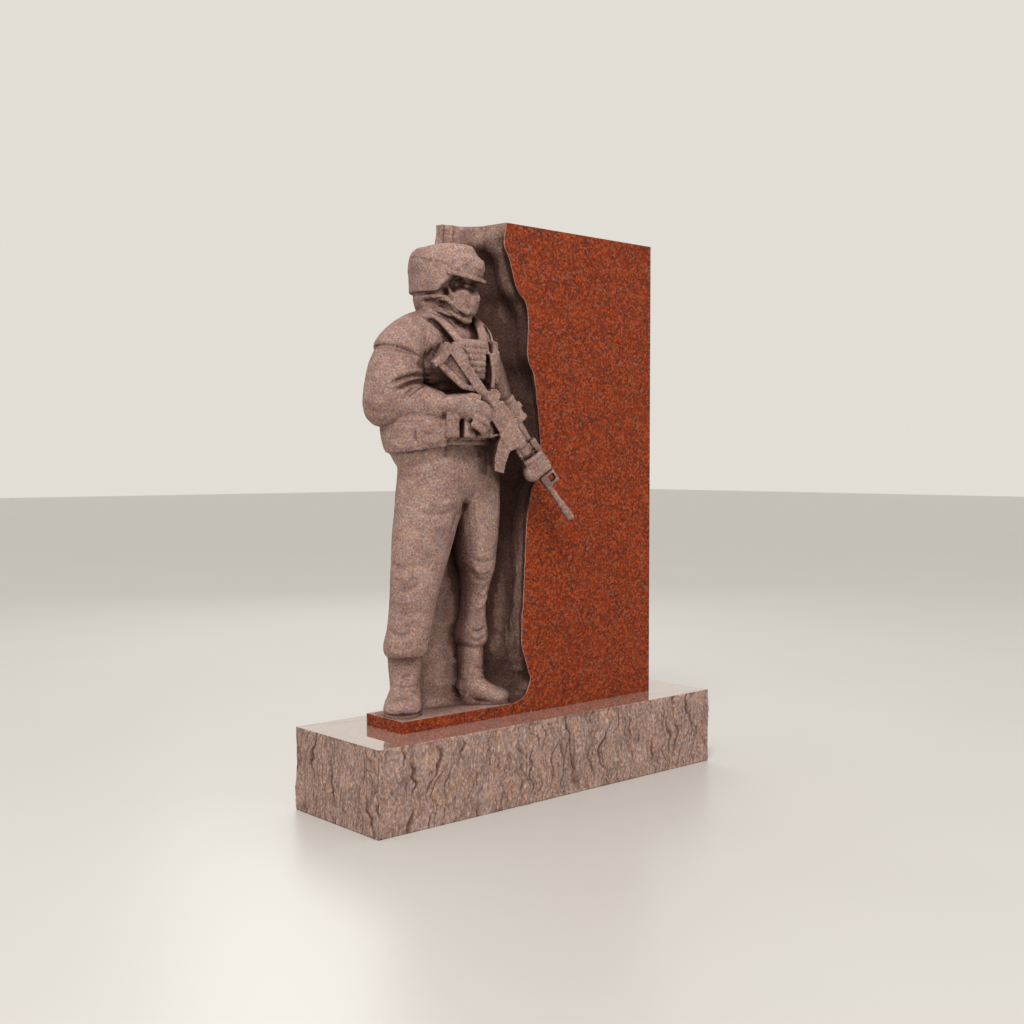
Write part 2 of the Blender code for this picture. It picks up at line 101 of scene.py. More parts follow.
def smooth_path(points: list[Vector], pieces: int) -> list[Vector]:
    """Run a smooth line through points.

    Args:
        points: At least two points.
        pieces: Steps between each two points.

    Returns:
        Points along the line, ends included.
    """
    line = []
    last = len(points) - 1
    for i in range(last):
        a, b = points[max(i - 1, 0)], points[i]
        c, d = points[i + 1], points[min(i + 2, last)]
        for k in range(pieces):
            t = k / pieces
            line.append(
                b * (1 - t) ** 2 * (1 + 2 * t) + c * t * t * (3 - 2 * t)
                + (c - a) * 0.5 * t * (1 - t) ** 2 - (d - b) * 0.5 * t * t * (1 - t)
            )
    return line + [points[last]]


def evaluated_copy(obj: bpy.types.Object, name: str) -> bpy.types.Mesh:
    """Apply an object's modifiers into a new mesh and remove the object."""
    bpy.context.view_layer.update()
    shown = obj.evaluated_get(bpy.context.evaluated_depsgraph_get())
    mesh = bpy.data.meshes.new_from_object(shown)
    mesh.name = name
    bpy.data.objects.remove(obj)
    return mesh


def link_mesh(mesh: bpy.types.Mesh, name: str) -> bpy.types.Object:
    """Put a mesh in the scene as an object at the origin."""
    obj = bpy.data.objects.new(name, mesh)
    bpy.context.scene.collection.objects.link(obj)
    return obj


def mesh_from(bm: bmesh.types.BMesh, name: str) -> bpy.types.Mesh:
    """Turn a bmesh into a mesh whose faces point outwards, and free the bmesh."""
    bmesh.ops.recalc_face_normals(bm, faces=bm.faces)
    mesh = bpy.data.meshes.new(name)
    bm.to_mesh(mesh)
    bm.free()
    return mesh


def keep_largest_shell(mesh: bpy.types.Mesh) -> None:
    """Delete every part of a mesh that isn't joined to its largest part."""
    bm = bmesh.new()
    bm.from_mesh(mesh)
    bm.verts.ensure_lookup_table()
    seen: set[bmesh.types.BMVert] = set()
    shells = []
    for start in bm.verts:
        if start in seen:
            continue
        shell, queue = [], [start]
        seen.add(start)
        while queue:
            vert = queue.pop()
            shell.append(vert)
            for edge in vert.link_edges:
                other = edge.other_vert(vert)
                if other not in seen:
                    seen.add(other)
                    queue.append(other)
        shells.append(shell)
    shells.sort(key=len)
    for shell in shells[:-1]:
        bmesh.ops.delete(bm, geom=shell, context="VERTS")
    bm.to_mesh(mesh)
    bm.free()


class Clay:
    """Closed forms, laid over one another, that are later fused into one."""

    limb_steps = 4
    band_steps = 5
    band_sides = 14
    bar_sides = 20

    def __init__(self) -> None:
        """Start with nothing."""
        self.mesh = bmesh.new()

    def _ring(
        self, centre: Vector, direction: Vector, radii: tuple[float, float], sides: int,
        across: Point, capped: bool,
    ) -> list[bmesh.types.BMEdge]:
        """Lay an oval square to a direction.

        Args:
            centre: Its middle.
            direction: What it is square to.
            radii: Half its width along across, and half its depth.
            sides: How many edges it has.
            across: The direction of its width.
            capped: Whether a face fills it.

        Returns:
            Its edges.
        """
        axis = direction.normalized()
        wide = (Vector(across) - axis * Vector(across).dot(axis)).normalized()
        turn = Matrix((wide, axis.cross(wide), axis)).transposed().to_4x4()
        place = Matrix.Translation(centre) @ turn @ Matrix.Diagonal((*radii, 1, 1))
        made = bmesh.ops.create_circle(
            self.mesh, segments=sides, radius=1.0, cap_ends=capped, matrix=place
        )
        inside = set(made["verts"])
        return [
            e for v in inside for e in v.link_edges if e.other_vert(v) in inside and e.verts[0] is v
        ]

    def loft(self, rings: list[Ring], sides: int = 24, across: Point = (1, 0, 0)) -> None:
        """Lay a closed form through ovals.

        Args:
            rings: Ovals as (x, y, z, half width, half depth).
            sides: Edges round each oval.
            across: The direction of the ovals' width.
        """
        centres = [Vector(r[:3]) for r in rings]
        last = len(rings) - 1
        loops = [
            self._ring(
                centres[i], centres[min(i + 1, last)] - centres[max(i - 1, 0)], ring[3:], sides,
                across, i in (0, last),
            )
            for i, ring in enumerate(rings)
        ]
        for first, second in zip(loops, loops[1:]):
            bmesh.ops.bridge_loops(self.mesh, edges=first + second)

    def limb(self, rings: list[Ring], across: Point = (1, 0, 0)) -> None:
        """Lay a loft whose ovals change smoothly from one to the next.

        Args:
            rings: Ovals as (x, y, z, half width, half depth).
            across: The direction of the ovals' width.
        """
        middles = smooth_path([Vector(r[:3]) for r in rings], self.limb_steps)
        widths = smooth_path([Vector((r[3], r[4], 0)) for r in rings], self.limb_steps)
        self.loft([(*m, w.x, w.y) for m, w in zip(middles, widths)], across=across)

    def band(
        self, points: list[Point], half_width: float, half_depth: float, across: Point = (1, 0, 0)
    ) -> None:
        """Lay a bar of one section along a smooth line through points."""
        line = smooth_path([Vector(p) for p in points], self.band_steps)
        rings = [(*p, half_width, half_depth) for p in line]
        self.loft(rings, sides=self.band_sides, across=across)

    def ball(self, centre: Point, radii: Point) -> None:
        """Lay an ellipsoid."""
        place = Matrix.Translation(Vector(centre)) @ Matrix.Diagonal((*radii, 1.0))
        bmesh.ops.create_icosphere(self.mesh, subdivisions=4, radius=1.0, matrix=place)

    def block(
        self, centre: Point, size: Point, turn: float = 0.0, tilt: float = 0.0,
        rounding: float = 4.0,
    ) -> None:
        """Lay a box with rounded edges.

        Args:
            centre: Its middle.
            size: Its width, depth and height.
            turn: Degrees about the vertical.
            tilt: Degrees about its own width.
            rounding: How far its edges are cut back.
        """
        place = (
            Matrix.Translation(Vector(centre)) @ Matrix.Rotation(radians(turn), 4, "Z")
            @ Matrix.Rotation(radians(tilt), 4, "X") @ Matrix.Diagonal((*size, 1.0))
        )
        made = bmesh.ops.create_cube(self.mesh, size=1.0, matrix=place)
        edges = list({e for v in made["verts"] for e in v.link_edges})
        bmesh.ops.bevel(
            self.mesh, geom=edges, offset=rounding, segments=2, affect="EDGES", profile=0.5,
            material=-1,
        )

    def plate(self, outline: list[tuple[float, float]], width: float) -> None:
        """Lay a flat plate, centred on y = 0, whose side is an outline of (x, z) points.

        Args:
            outline: The corners of its side.
            width: Its thickness along Y.
        """
        side = [self.mesh.verts.new((x, -width / 2, z)) for x, z in outline]
        grown = bmesh.ops.extrude_face_region(self.mesh, geom=[self.mesh.faces.new(side)])
        moved = [v for v in grown["geom"] if isinstance(v, bmesh.types.BMVert)]
        bmesh.ops.translate(self.mesh, verts=moved, vec=(0, width, 0))

    def bar(self, start: float, end: float, height: float, radius: float) -> None:
        """Lay a round bar along X, from start to end at a height."""
        place = Matrix.Translation(((start + end) / 2, 0, height)) @ Matrix.Rotation(pi / 2, 4, "Y")
        bmesh.ops.create_cone(
            self.mesh, cap_ends=True, segments=self.bar_sides, radius1=radius, radius2=radius,
            depth=end - start, matrix=place,
        )

    def add(self, other: Clay, matrix: Matrix) -> None:
        """Move another lot of forms in, placed by a matrix."""
        bmesh.ops.transform(other.mesh, matrix=matrix, verts=other.mesh.verts)
        mesh = mesh_from(other.mesh, "forms")
        self.mesh.from_mesh(mesh)
        bpy.data.meshes.remove(mesh)

    def cut(self, point: Point, facing: Point) -> None:
        """Cut off everything on one side of a plane and close the cut."""
        made = bmesh.ops.bisect_plane(
            self.mesh, geom=self.mesh.verts[:] + self.mesh.edges[:] + self.mesh.faces[:],
            plane_co=point, plane_no=facing, clear_outer=True,
        )
        rim = [e for e in made["geom_cut"] if isinstance(e, bmesh.types.BMEdge)]
        bmesh.ops.contextual_create(self.mesh, geom=rim)

    def fused(self, name: str, grain: float, smoothing: int) -> bpy.types.Mesh:
        """Fuse the forms into one closed mesh.

        Args:
            name: The mesh's name.
            grain: The size of the cells that fuse them.
            smoothing: How many times the result is smoothed.

        Returns:
            The mesh.
        """
        obj = link_mesh(mesh_from(self.mesh, name), name)
        fuse = obj.modifiers.new("Fuse", "REMESH")
        fuse.mode = "VOXEL"
        fuse.voxel_size = grain
        soften = obj.modifiers.new("Soften", "SMOOTH")
        soften.factor = 0.5
        soften.iterations = smoothing
        return evaluated_copy(obj, name)


class HollowShade:
    """Measures how much of the open air around each point of a mesh is blocked.

    The materials read the result as a colour attribute and darken the carved stone by it, as
    painted shade in its hollows: red for the wide hollows and green for the narrow ones.

    Attributes:
        name: The colour attribute's name.
        lift: How far over the surface the tries start, in metres.
        grazing: Directions flatter to the surface than this cosine aren't tried.
        level: Stone whose normal rises more than this is a ledge, which throws light back.
        ledge_share: How much a ledge blocks, next to other stone.
        fading: How much less the furthest stone blocks than the nearest.
    """

    name = "hollow"
    lift = 0.0015
    grazing = 0.08
    level = 0.8
    ledge_share = 0.35
    fading = 0.6

    def __init__(self, mesh: bpy.types.Mesh, wide: float, narrow: float, rays: int = 22) -> None:
        """Index the mesh.

        Args:
            mesh: The finished mesh.
            wide: How far away stone still blocks the air of a wide hollow.
            narrow: The same for a narrow hollow.
            rays: How many directions are tried at each point.
        """
        self.mesh = mesh
        self.wide = wide
        self.narrow = narrow
        self.tree = BVHTree.FromPolygons(
            [v.co for v in mesh.vertices], [p.vertices for p in mesh.polygons]
        )
        golden = pi * (3 - 5**0.5)
        self.ways = []
        for i in range(rays):
            rise = 1 - (2 * i + 1) / rays
            flat = (1 - rise * rise) ** 0.5
            self.ways.append(Vector((flat * cos(golden * i), flat * sin(golden * i), rise)))

    def blocked(self, place: Vector, normal: Vector) -> tuple[float, float]:
        """Return the blocked shares of the air over a point, nearer stone counting more."""
        start = place + normal * self.lift
        wide = narrow = whole = 0.0
        for way in self.ways:
            facing = way.dot(normal)
            if facing < self.grazing:
                continue
            whole += facing
            _, faced, _, distance = self.tree.ray_cast(start, way, self.wide)
            if distance is not None:
                share = self.ledge_share if faced.z > self.level else 1.0
                wide += facing * share * (1 - self.fading * distance / self.wide)
                narrow += facing * max(0.0, 1 - distance / self.narrow)
        return (wide / whole, narrow / whole) if whole else (0.0, 0.0)

    def paint(self, carved: set[int]) -> None:
        """Store the result for the given points, and 0 for the others."""
        layer = self.mesh.attributes.new(self.name, "FLOAT_COLOR", "POINT")
        for vert in self.mesh.vertices:
            if vert.index in carved:
                wide, narrow = self.blocked(vert.co, vert.normal)
                layer.data[vert.index].color = (wide, narrow, 0.0, 1.0)


# Carving marks


@dataclass(frozen=True)
class Mark:
    """A groove or a ridge that is drawn on the figure from one side.

    Attributes:
        side: Where it is drawn from.
        points: Its line, as (across, up) in millimetres as seen from there.
        width: Half the breadth of the mark.
        height: How far it stands out. A groove's is negative.
        fades: Whether its ends run out.
    """

    side: Side
    points: list[tuple[float, float]]
    width: float
    height: float
    fades: bool = True


class Chisel:
    """Draws marks on a mesh in the figure's millimetres.

    Attributes:
        pieces: Steps between each two points of a mark's line.
        away: How far from the figure's middle the line is drawn from.
        reach: How far a mark is felt, in half breadths.
        run_out: The share of a fading mark's line at each end that runs out, as 1 over it.
        turned: Points whose normal is turned further than this cosine from the mark's stay.
        waves: The sizes of the broad and the small unevenness.
        small_wave: The small unevenness as a share of the broad.
    """

    pieces = 12
    away = 900
    reach = 2.4
    run_out = 4
    turned = 0.1
    waves = (46.0, 17.0)
    small_wave = 0.45

    def __init__(self, mesh: bpy.types.Mesh) -> None:
        """Index the mesh as it is before any mark."""
        self.mesh = mesh
        self.tree = BVHTree.FromPolygons(
            [v.co for v in mesh.vertices], [p.vertices for p in mesh.polygons]
        )
        self.near = KDTree(len(mesh.vertices))
        for vert in mesh.vertices:
            self.near.insert(vert.co, vert.index)
        self.near.balance()
        self.normals = [v.normal.copy() for v in mesh.vertices]
        self.moves: dict[int, float] = {}

    def draw(self, mark: Mark) -> None:
        """Work out how far one mark moves each point near it."""
        turn = Matrix.Rotation(radians(mark.side.value), 3, "Z")
        right, forward = turn @ Vector((1, 0, 0)), turn @ Vector((0, 1, 0))
        flat = smooth_path([Vector((a, up, 0)) for a, up in mark.points], self.pieces)
        length = sum((b - a).length for a, b in zip(flat, flat[1:]))
        walked, found = 0.0, {}
        for before, here in zip([flat[0]] + flat, flat):
            walked += (here - before).length
            start = right * here.x + Vector((0, 0, here.y)) - forward * self.away
            hit, normal, _, _ = self.tree.ray_cast(start, forward)
            if hit is None:
                continue
            share = walked / length
            ends = self.run_out * min(share, 1 - share)
            taper = min(1.0, ends) if mark.fades else 1.0
            for place, index, distance in self.near.find_range(hit, mark.width * self.reach):
                if self.normals[index].dot(normal) > self.turned:
                    pull = taper * exp(-((distance / mark.width) ** 2))
                    found[index] = max(found.get(index, 0.0), pull)
        for index, pull in found.items():
            self.moves[index] = self.moves.get(index, 0.0) + pull * mark.height

    def finish(self, waviness: float) -> None:
        """Move the points, with the unevenness of hand carving added.

        Args:
            waviness: The most that the broad unevenness moves a point.
        """
        broad, small = self.waves
        for vert in self.mesh.vertices:
            uneven = noise.noise(vert.co / broad) + self.small_wave * noise.noise(vert.co / small)
            move = self.moves.get(vert.index, 0.0) + waviness * uneven
            vert.co += self.normals[vert.index] * move


# The soldier


@dataclass
class Helmet:
    """A cloth-covered helmet whose rim rises over the ears to a short brim.

    Attributes:
        middle: The widest level's middle, in the figure's millimetres.
        turn: How far it faces to the figure's left, in degrees.
        rear_rim: The plane of the rim at the back, as a point from the middle and the way out.
        ear_rim: The same for the rim that rises over the ears.
        brim_rim: The same for the brim.
        crown_seam: The same for the seam round the cover's crown.
        brim_back: The same for the brim's back end.
    """

    middle: Point = (0, 12, 1136)
    turn: float = 25.0
    rear_rim: tuple[Point, Point] = ((0, 0, -38), (0, 0.02, -1))
    ear_rim: tuple[Point, Point] = ((0, -24, -31), (0, -0.717, -0.697))
    brim_rim: tuple[Point, Point] = ((0, -54, 1), (0, 0.26, -0.966))
    crown_seam: tuple[Point, Point] = ((0, 0, 45), (0, -0.28, -0.96))
    brim_back: tuple[Point, Point] = ((0, -46, 0), (0, 1, 0))

    def dome(self, swell: float = 0.0) -> Clay:
        """Lay the whole dome, grown outwards by some millimetres."""
        clay = Clay()
        levels = [
            (0, 0, -60, 82, 99), (0, 0, -30, 84, 101), (0, 0, 2, 84, 102), (0, 0, 30, 84, 102),
            (0, -1, 46, 82, 100), (0, -2, 58, 78, 96), (0, -3, 68, 71, 88), (0, -4, 78, 60, 75),
            (0, -4, 85, 46, 58), (0, -4, 90, 29, 38), (0, -4, 92, 12, 15),
        ]
        clay.limb([(x, y, z + swell * z / 100, w + swell, d + swell) for x, y, z, w, d in levels])
        return clay

    def cut_dome(self, swell: float, *planes: tuple[Point, Point]) -> Clay:
        """Lay the dome with everything outside some planes cut off."""
        clay = self.dome(swell)
        for point, facing in planes:
            clay.cut(point, facing)
        return clay

    def raised(self, plane: tuple[Point, Point], by: float) -> tuple[Point, Point]:
        """Turn a rim's plane over and move it up, to end a band above the rim."""
        (x, y, z), (a, b, c) = plane
        return (x - a * by, y - b * by, z - c * by), (-a, -b, -c)

    def build(self) -> Clay:
        """Lay the helmet, with its seamed cover, its brim and its front bracket."""
        helmet = Clay()
        still = Matrix.Identity(4)
        helmet.add(self.cut_dome(0.0, self.rear_rim, self.ear_rim), still)
        helmet.add(self.cut_dome(0.0, self.brim_rim), still)
        helmet.add(self.cut_dome(1.8, self.crown_seam), still)
        edging = self.cut_dome(1.6, self.rear_rim, self.ear_rim, self.raised(self.ear_rim, 7))
        helmet.add(edging, still)
        brim = self.cut_dome(9.5, self.brim_rim, self.raised(self.brim_rim, 9), self.brim_back)
        helmet.add(brim, Matrix.Translation((0, -1, 0)))
        helmet.block((0, -99, 31), (34, 18, 32), tilt=-8, rounding=4)
        helmet.block((0, -104, 31), (20, 12, 20), tilt=-8, rounding=3)
        helmet.block((0, -95, 10), (26, 22, 16), tilt=-4, rounding=4)
        placed = Clay()
        turn = Matrix.Rotation(radians(self.turn), 4, "Z")
        placed.add(helmet, Matrix.Translation(self.middle) @ turn)
        return placed


@dataclass
class Soldier:
    """A standing soldier in helmet, mask, padded vest, bloused jacket, trousers and boots.

    Attributes:
        grain: The size of the cells that fuse the forms.
        smoothing: How many times the fused forms are smoothed.
        waviness: The most that the unevenness of the carving moves a point.
        helmet: The helmet, which the head is turned with.
    """

    grain: float = 2.9
    smoothing: int = 2
    waviness: float = 1.1
    helmet: Helmet = field(default_factory=Helmet)

    def trousers(self, clay: Clay) -> None:
        """Lay the seat and both legs of the trousers."""
        clay.limb([
            (10, 18, 540, 40, 34), (7, 10, 574, 100, 64), (6, 0, 625, 144, 75),
            (4, 0, 665, 144, 76), (2, 1, 706, 136, 75),
        ])
        clay.limb([
            (-40, 14, 700, 82, 78), (-42, 14, 660, 93, 87), (-46, 14, 612, 93, 89),
            (-55, 17, 545, 90, 87), (-69, 18, 480, 83, 83), (-85, 16, 415, 76, 76),
            (-99, 16, 345, 66, 68), (-105, 20, 290, 61, 64), (-111, 24, 240, 58, 60),
            (-116, 30, 200, 57, 58), (-119, 33, 174, 59, 59), (-120, 34, 156, 55, 54),
            (-120, 34, 150, 46, 46),
        ])
        clay.limb([
            (66, 8, 690, 70, 68), (72, 3, 640, 82, 73), (78, 3, 600, 83, 73),
            (86, 5, 540, 78, 71), (92, 6, 480, 69, 67), (95, 9, 425, 60, 64),
            (98, 8, 378, 51, 58), (98, 14, 330, 39, 48), (97, 20, 285, 34, 43),
            (96, 22, 240, 37, 44), (95, 24, 205, 46, 48), (94, 25, 178, 48, 50),
            (94, 26, 162, 40, 41), (94, 26, 156, 34, 34),
        ])

    def boot(self, clay: Clay, ankle: Point, turn: float, width: float) -> None:
        """Lay one boot.

        Args:
            clay: Where it is laid.
            ankle: The middle of its heel, on the ledge.
            turn: How far its toe points to the figure's left, in degrees.
            width: Its breadth as a share of the usual.
        """
        boot = Clay()
        boot.limb([
            (0, 2, 178, 38, 38), (0, 2, 140, 37, 38), (0, 2, 105, 35, 37), (0, 1, 70, 33, 39),
            (0, 0, 40, 35, 40), (0, -1, 8, 35, 41), (0, -1, -8, 34, 40),
        ])
        boot.limb([
            (0, 27, 34, 32, 33), (0, 6, 44, 35, 46), (0, -28, 34, 39, 37), (0, -58, 24, 42, 30),
            (0, -82, 20, 38, 26), (0, -97, 17, 27, 20), (0, -104, 15, 11, 9),
        ])
        for y, half_width, half_depth in ((6, 34, 36), (-20, 36, 50), (-48, 41, 50), (-66, 39, 39)):
            boot.loft([(0, y, -8, half_width, half_depth), (0, y, 9, half_width, half_depth)])
        for row in range(5):
            z, y = 58 + row * 17, -28 + row * 1.5
            boot.band([(-15, y, z), (0, y - 7, z + 2), (15, y, z)], 3.2, 3.2, (0, 0, 1))
        place = (
            Matrix.Translation(Vector(ankle)) @ Matrix.Rotation(radians(turn), 4, "Z")
            @ Matrix.Diagonal((width, 1, 1, 1))
        )
        clay.add(boot, place)

    def skirt(self, clay: Clay) -> None:
        """Lay the jacket's skirt, which blouses over the belt and hangs lower at the right hip."""
        clay.limb([
            (-6, 13, 700, 136, 86), (-8, 14, 708, 150, 96), (-12, 14, 728, 158, 100),
            (-12, 14, 760, 158, 102), (-8, 14, 792, 142, 98), (-4, 14, 812, 124, 92),
        ])
        hip = Clay()
        hip.limb([
            (-8, 15, 682, 112, 74), (-10, 15, 686, 132, 88), (-12, 15, 692, 148, 98),
            (-13, 16, 701, 160, 106), (-15, 16, 716, 172, 113), (-16, 16, 744, 177, 117),
            (-16, 16, 768, 172, 114), (-14, 16, 800, 150, 104),
        ])
        hip.cut((-74, -87, 0), (0.97, -0.24, 0))
        clay.add(hip, Matrix.Identity(4))

    def trunk(self, clay: Clay) -> None:
        """Lay the jacket's trunk, drawn in between the right arm and the chest."""
        clay.limb([
            (0, 13, 690, 132, 84), (4, 15, 760, 124, 86), (14, 20, 800, 106, 78),
            (18, 22, 850, 99, 73), (14, 20, 882, 106, 80), (0, 18, 918, 134, 93),
            (-4, 18, 940, 143, 95), (-6, 20, 984, 128, 82), (-4, 22, 1020, 92, 68),
            (-2, 22, 1040, 70, 60), (0, 20, 1052, 56, 54),
        ])
        clay.limb([
            (96, 26, 740, 36, 44), (108, 28, 780, 44, 50), (110, 28, 850, 42, 50),
            (100, 28, 900, 36, 46),
        ])

    def sleeves(self, clay: Clay) -> None:
        """Lay the shoulders and the sleeves."""
        clay.limb([
            (-70, 20, 1002, 48, 48), (-108, 22, 966, 62, 60), (-136, 26, 922, 74, 71),
            (-154, 28, 876, 78, 74), (-162, 30, 828, 76, 74), (-164, 31, 798, 72, 73),
            (-160, 30, 774, 60, 62), (-156, 30, 760, 40, 44), (-154, 30, 754, 18, 22),
        ], across=(0, 1, 0))
        clay.limb([
            (-58, 18, 1018, 42, 42), (-92, 22, 992, 57, 55), (-120, 24, 963, 70, 66),
            (-137, 26, 936, 77, 72), (-142, 26, 927, 73, 68),
        ], across=(0, 1, 0))
        clay.ball((-72, 30, 1011), (50, 52, 38))
        clay.limb([
            (-176, 42, 812, 54, 52), (-164, 24, 811, 59, 58), (-146, 2, 810, 57, 57),
            (-124, -26, 808, 52, 51), (-102, -54, 804, 44, 43), (-88, -72, 802, 37, 36),
            (-82, -80, 802, 34, 33), (-79, -84, 802, 28, 27),
        ], across=(0, 0, 1))
        clay.limb([
            (70, 22, 1008, 44, 48), (104, 22, 972, 53, 54), (130, 18, 922, 55, 56),
            (152, 14, 868, 53, 54), (172, 10, 814, 49, 50), (180, 8, 780, 38, 40),
        ], across=(0, 1, 0))
        clay.limb([
            (182, 26, 822, 38, 38), (182, 4, 796, 44, 43), (184, -28, 756, 40, 39),
            (186, -66, 716, 35, 34), (186, -94, 688, 30, 29), (186, -102, 680, 24, 23),
        ], across=(0, 0, 1))

    def pouches(self, clay: Clay) -> None:
        """Lay the belt and the pouches that hang under the vest."""
        clay.loft([(2, 12, 701, 144, 105), (2, 12, 719, 144, 105)], sides=40)
        clay.loft([(2, 12, 705, 146, 107), (2, 12, 715, 146, 107)], sides=40)
        for x, y, turn in ((-63, -90, -26), (-21, -103, -9), (18, -105, 0), (56, -98, 14)):
            clay.block((x, y, 752), (37, 38, 68), turn=turn, rounding=5)
            clay.block((x, y - 3, 774), (39, 38, 26), turn=turn, rounding=5)
        clay.block((102, -72, 752), (46, 44, 70), turn=36, rounding=8)
        clay.block((142, 20, 752), (34, 72, 64), rounding=9)
        clay.block((30, 110, 790), (110, 36, 70), rounding=10)

    def vest(self, clay: Clay) -> None:
        """Lay the padded vest with its straps, webbing, radio and plates."""
        clay.block((6, -80, 920), (86, 44, 108), tilt=3, rounding=8)
        clay.block((6, -90, 918), (76, 30, 98), tilt=3, rounding=6)
        clay.block((4, 104, 900), (168, 44, 190), tilt=-3, rounding=16)
        clay.loft([(15, 20, 842, 104, 79), (15, 20, 858, 105, 80)], sides=36)
        for row in range(5):
            clay.block((4, 126, 946 - row * 25), (140, 8, 12), rounding=2)
        clay.band([
            (-50, 106, 950), (-64, 70, 1008), (-74, 22, 1043), (-67, -12, 1037), (-58, -40, 1021),
            (-49, -66, 998), (-41, -88, 970), (-38, -99, 945),
        ], 14, 9)
        clay.band([
            (50, 106, 950), (62, 66, 1010), (66, 14, 1044), (64, -34, 1030), (52, -72, 998),
            (42, -98, 944),
        ], 15, 8)
        clay.block((78, -82, 904), (32, 40, 92), turn=24, rounding=7)
        clay.block((80, -86, 958), (24, 24, 30), turn=24, rounding=5)
        clay.band([(80, -84, 968), (84, -66, 1000), (76, -36, 1032)], 3.8, 3.8, (0, 1, 0))
        clay.band([(58, -102, 940), (63, -107, 890), (58, -109, 846)], 7.0, 6.0, (1, 0, 0))

    def head(self, clay: Clay) -> None:
        """Lay the scarf, the masked head with its straps, and the helmet."""
        clay.limb([(-4, 22, 1006, 82, 68), (-3, 20, 1028, 72, 64), (0, 16, 1050, 62, 58)])
        clay.limb([
            (-4, 20, 1036, 64, 60), (-5, 24, 1052, 65, 63), (-6, 27, 1068, 69, 66),
            (-6, 28, 1084, 74, 69), (-6, 27, 1100, 71, 67), (-4, 24, 1116, 56, 56),
        ])
        clay.band([
            (-50, 60, 1062), (-61, 22, 1060), (-46, -26, 1050), (-14, -52, 1034), (14, -58, 1024),
            (34, -40, 1030),
        ], 11, 9)
        clay.band([
            (-56, 66, 1088), (-70, 24, 1086), (-56, -20, 1084), (-40, -46, 1078), (-18, -64, 1058),
            (10, -72, 1042),
        ], 10, 8)
        head = Clay()
        head.ball((0, 3, 1120), (59, 71, 78))
        head.ball((0, -32, 1078), (50, 54, 46))
        head.ball((0, -16, 1112), (50, 58, 32))
        head.ball((0, -56, 1052), (31, 28, 20))
        head.limb([
            (0, -58, 1040, 15, 13), (0, -68, 1058, 25, 17), (0, -74, 1076, 24, 18),
            (0, -70, 1094, 18, 16),
        ])
        head.limb([
            (0, -86, 1076, 9, 8), (0, -89, 1084, 9, 8), (0, -80, 1100, 7, 8), (0, -68, 1122, 6, 8),
        ])
        for side in (-1, 1):
            head.ball((side * 25, -54, 1086), (27, 26, 28))
            head.ball((side * 21, -66, 1115), (13, 9, 7))
            head.ball((side * 21, -69, 1130), (24, 13, 6))
            head.band([
                (side * 57, -20, 1134), (side * 57, -32, 1108), (side * 49, -46, 1074),
                (side * 30, -64, 1050),
            ], 6, 2.6, (0, 1, 0))
            head.ball((side * 35, -38, 1070), (24, 36, 34))
            head.ball((side * 58, 4, 1100), (13, 24, 26))
        turn = Matrix.Rotation(radians(self.helmet.turn), 4, "Z")
        clay.add(head, Matrix.Translation((2, 8, 0)) @ turn)
        clay.add(self.helmet.build(), Matrix.Identity(4))

    def right_hand(self, clay: Clay) -> None:
        """Lay the gloved hand that closes round the rifle's grip."""
        clay.limb([
            (-90, -72, 802, 26, 24), (-70, -92, 803, 26, 25), (-50, -106, 802, 30, 25),
            (-30, -116, 797, 34, 25), (-12, -124, 790, 30, 21), (-4, -128, 784, 18, 14),
        ], across=(0, 0, 1))
        fingers = (
            ((-20, -130, 812), (2, -144, 800), (20, -140, 784)),
            ((-20, -133, 794), (5, -149, 780), (22, -140, 764)),
            ((-23, -132, 775), (2, -147, 759), (17, -138, 744)),
            ((-28, -128, 757), (-6, -142, 740), (8, -134, 729)),
        )
        for knuckle, middle, tip in fingers:
            clay.band([knuckle, middle, tip], 9.4, 8.6, (0, 0, 1))
        clay.band([(-46, -110, 816), (-24, -120, 826), (2, -127, 820)], 9, 8, (0, 0, 1))

    def left_hand(self, clay: Clay) -> None:
        """Lay the gloved hand that holds the rifle's handguard from below."""
        clay.limb([
            (186, -92, 690, 27, 25), (184, -114, 668, 28, 26), (180, -128, 648, 30, 24),
            (176, -136, 630, 22, 18),
        ])
        for step in range(4):
            shift = Vector((9.0, -1.6, -11.0)) * (step - 1.5)
            line = [Vector((152, -150, 634)), Vector((164, -171, 648)), Vector((186, -176, 664))]
            clay.band([tuple(point + shift) for point in line], 8.4, 7.8, (0.62, -0.1, -0.77))
        clay.ball((166, -146, 632), (27, 24, 27))
        clay.band([(190, -118, 676), (200, -142, 672), (202, -160, 660)], 9, 8, (0, 0, 1))

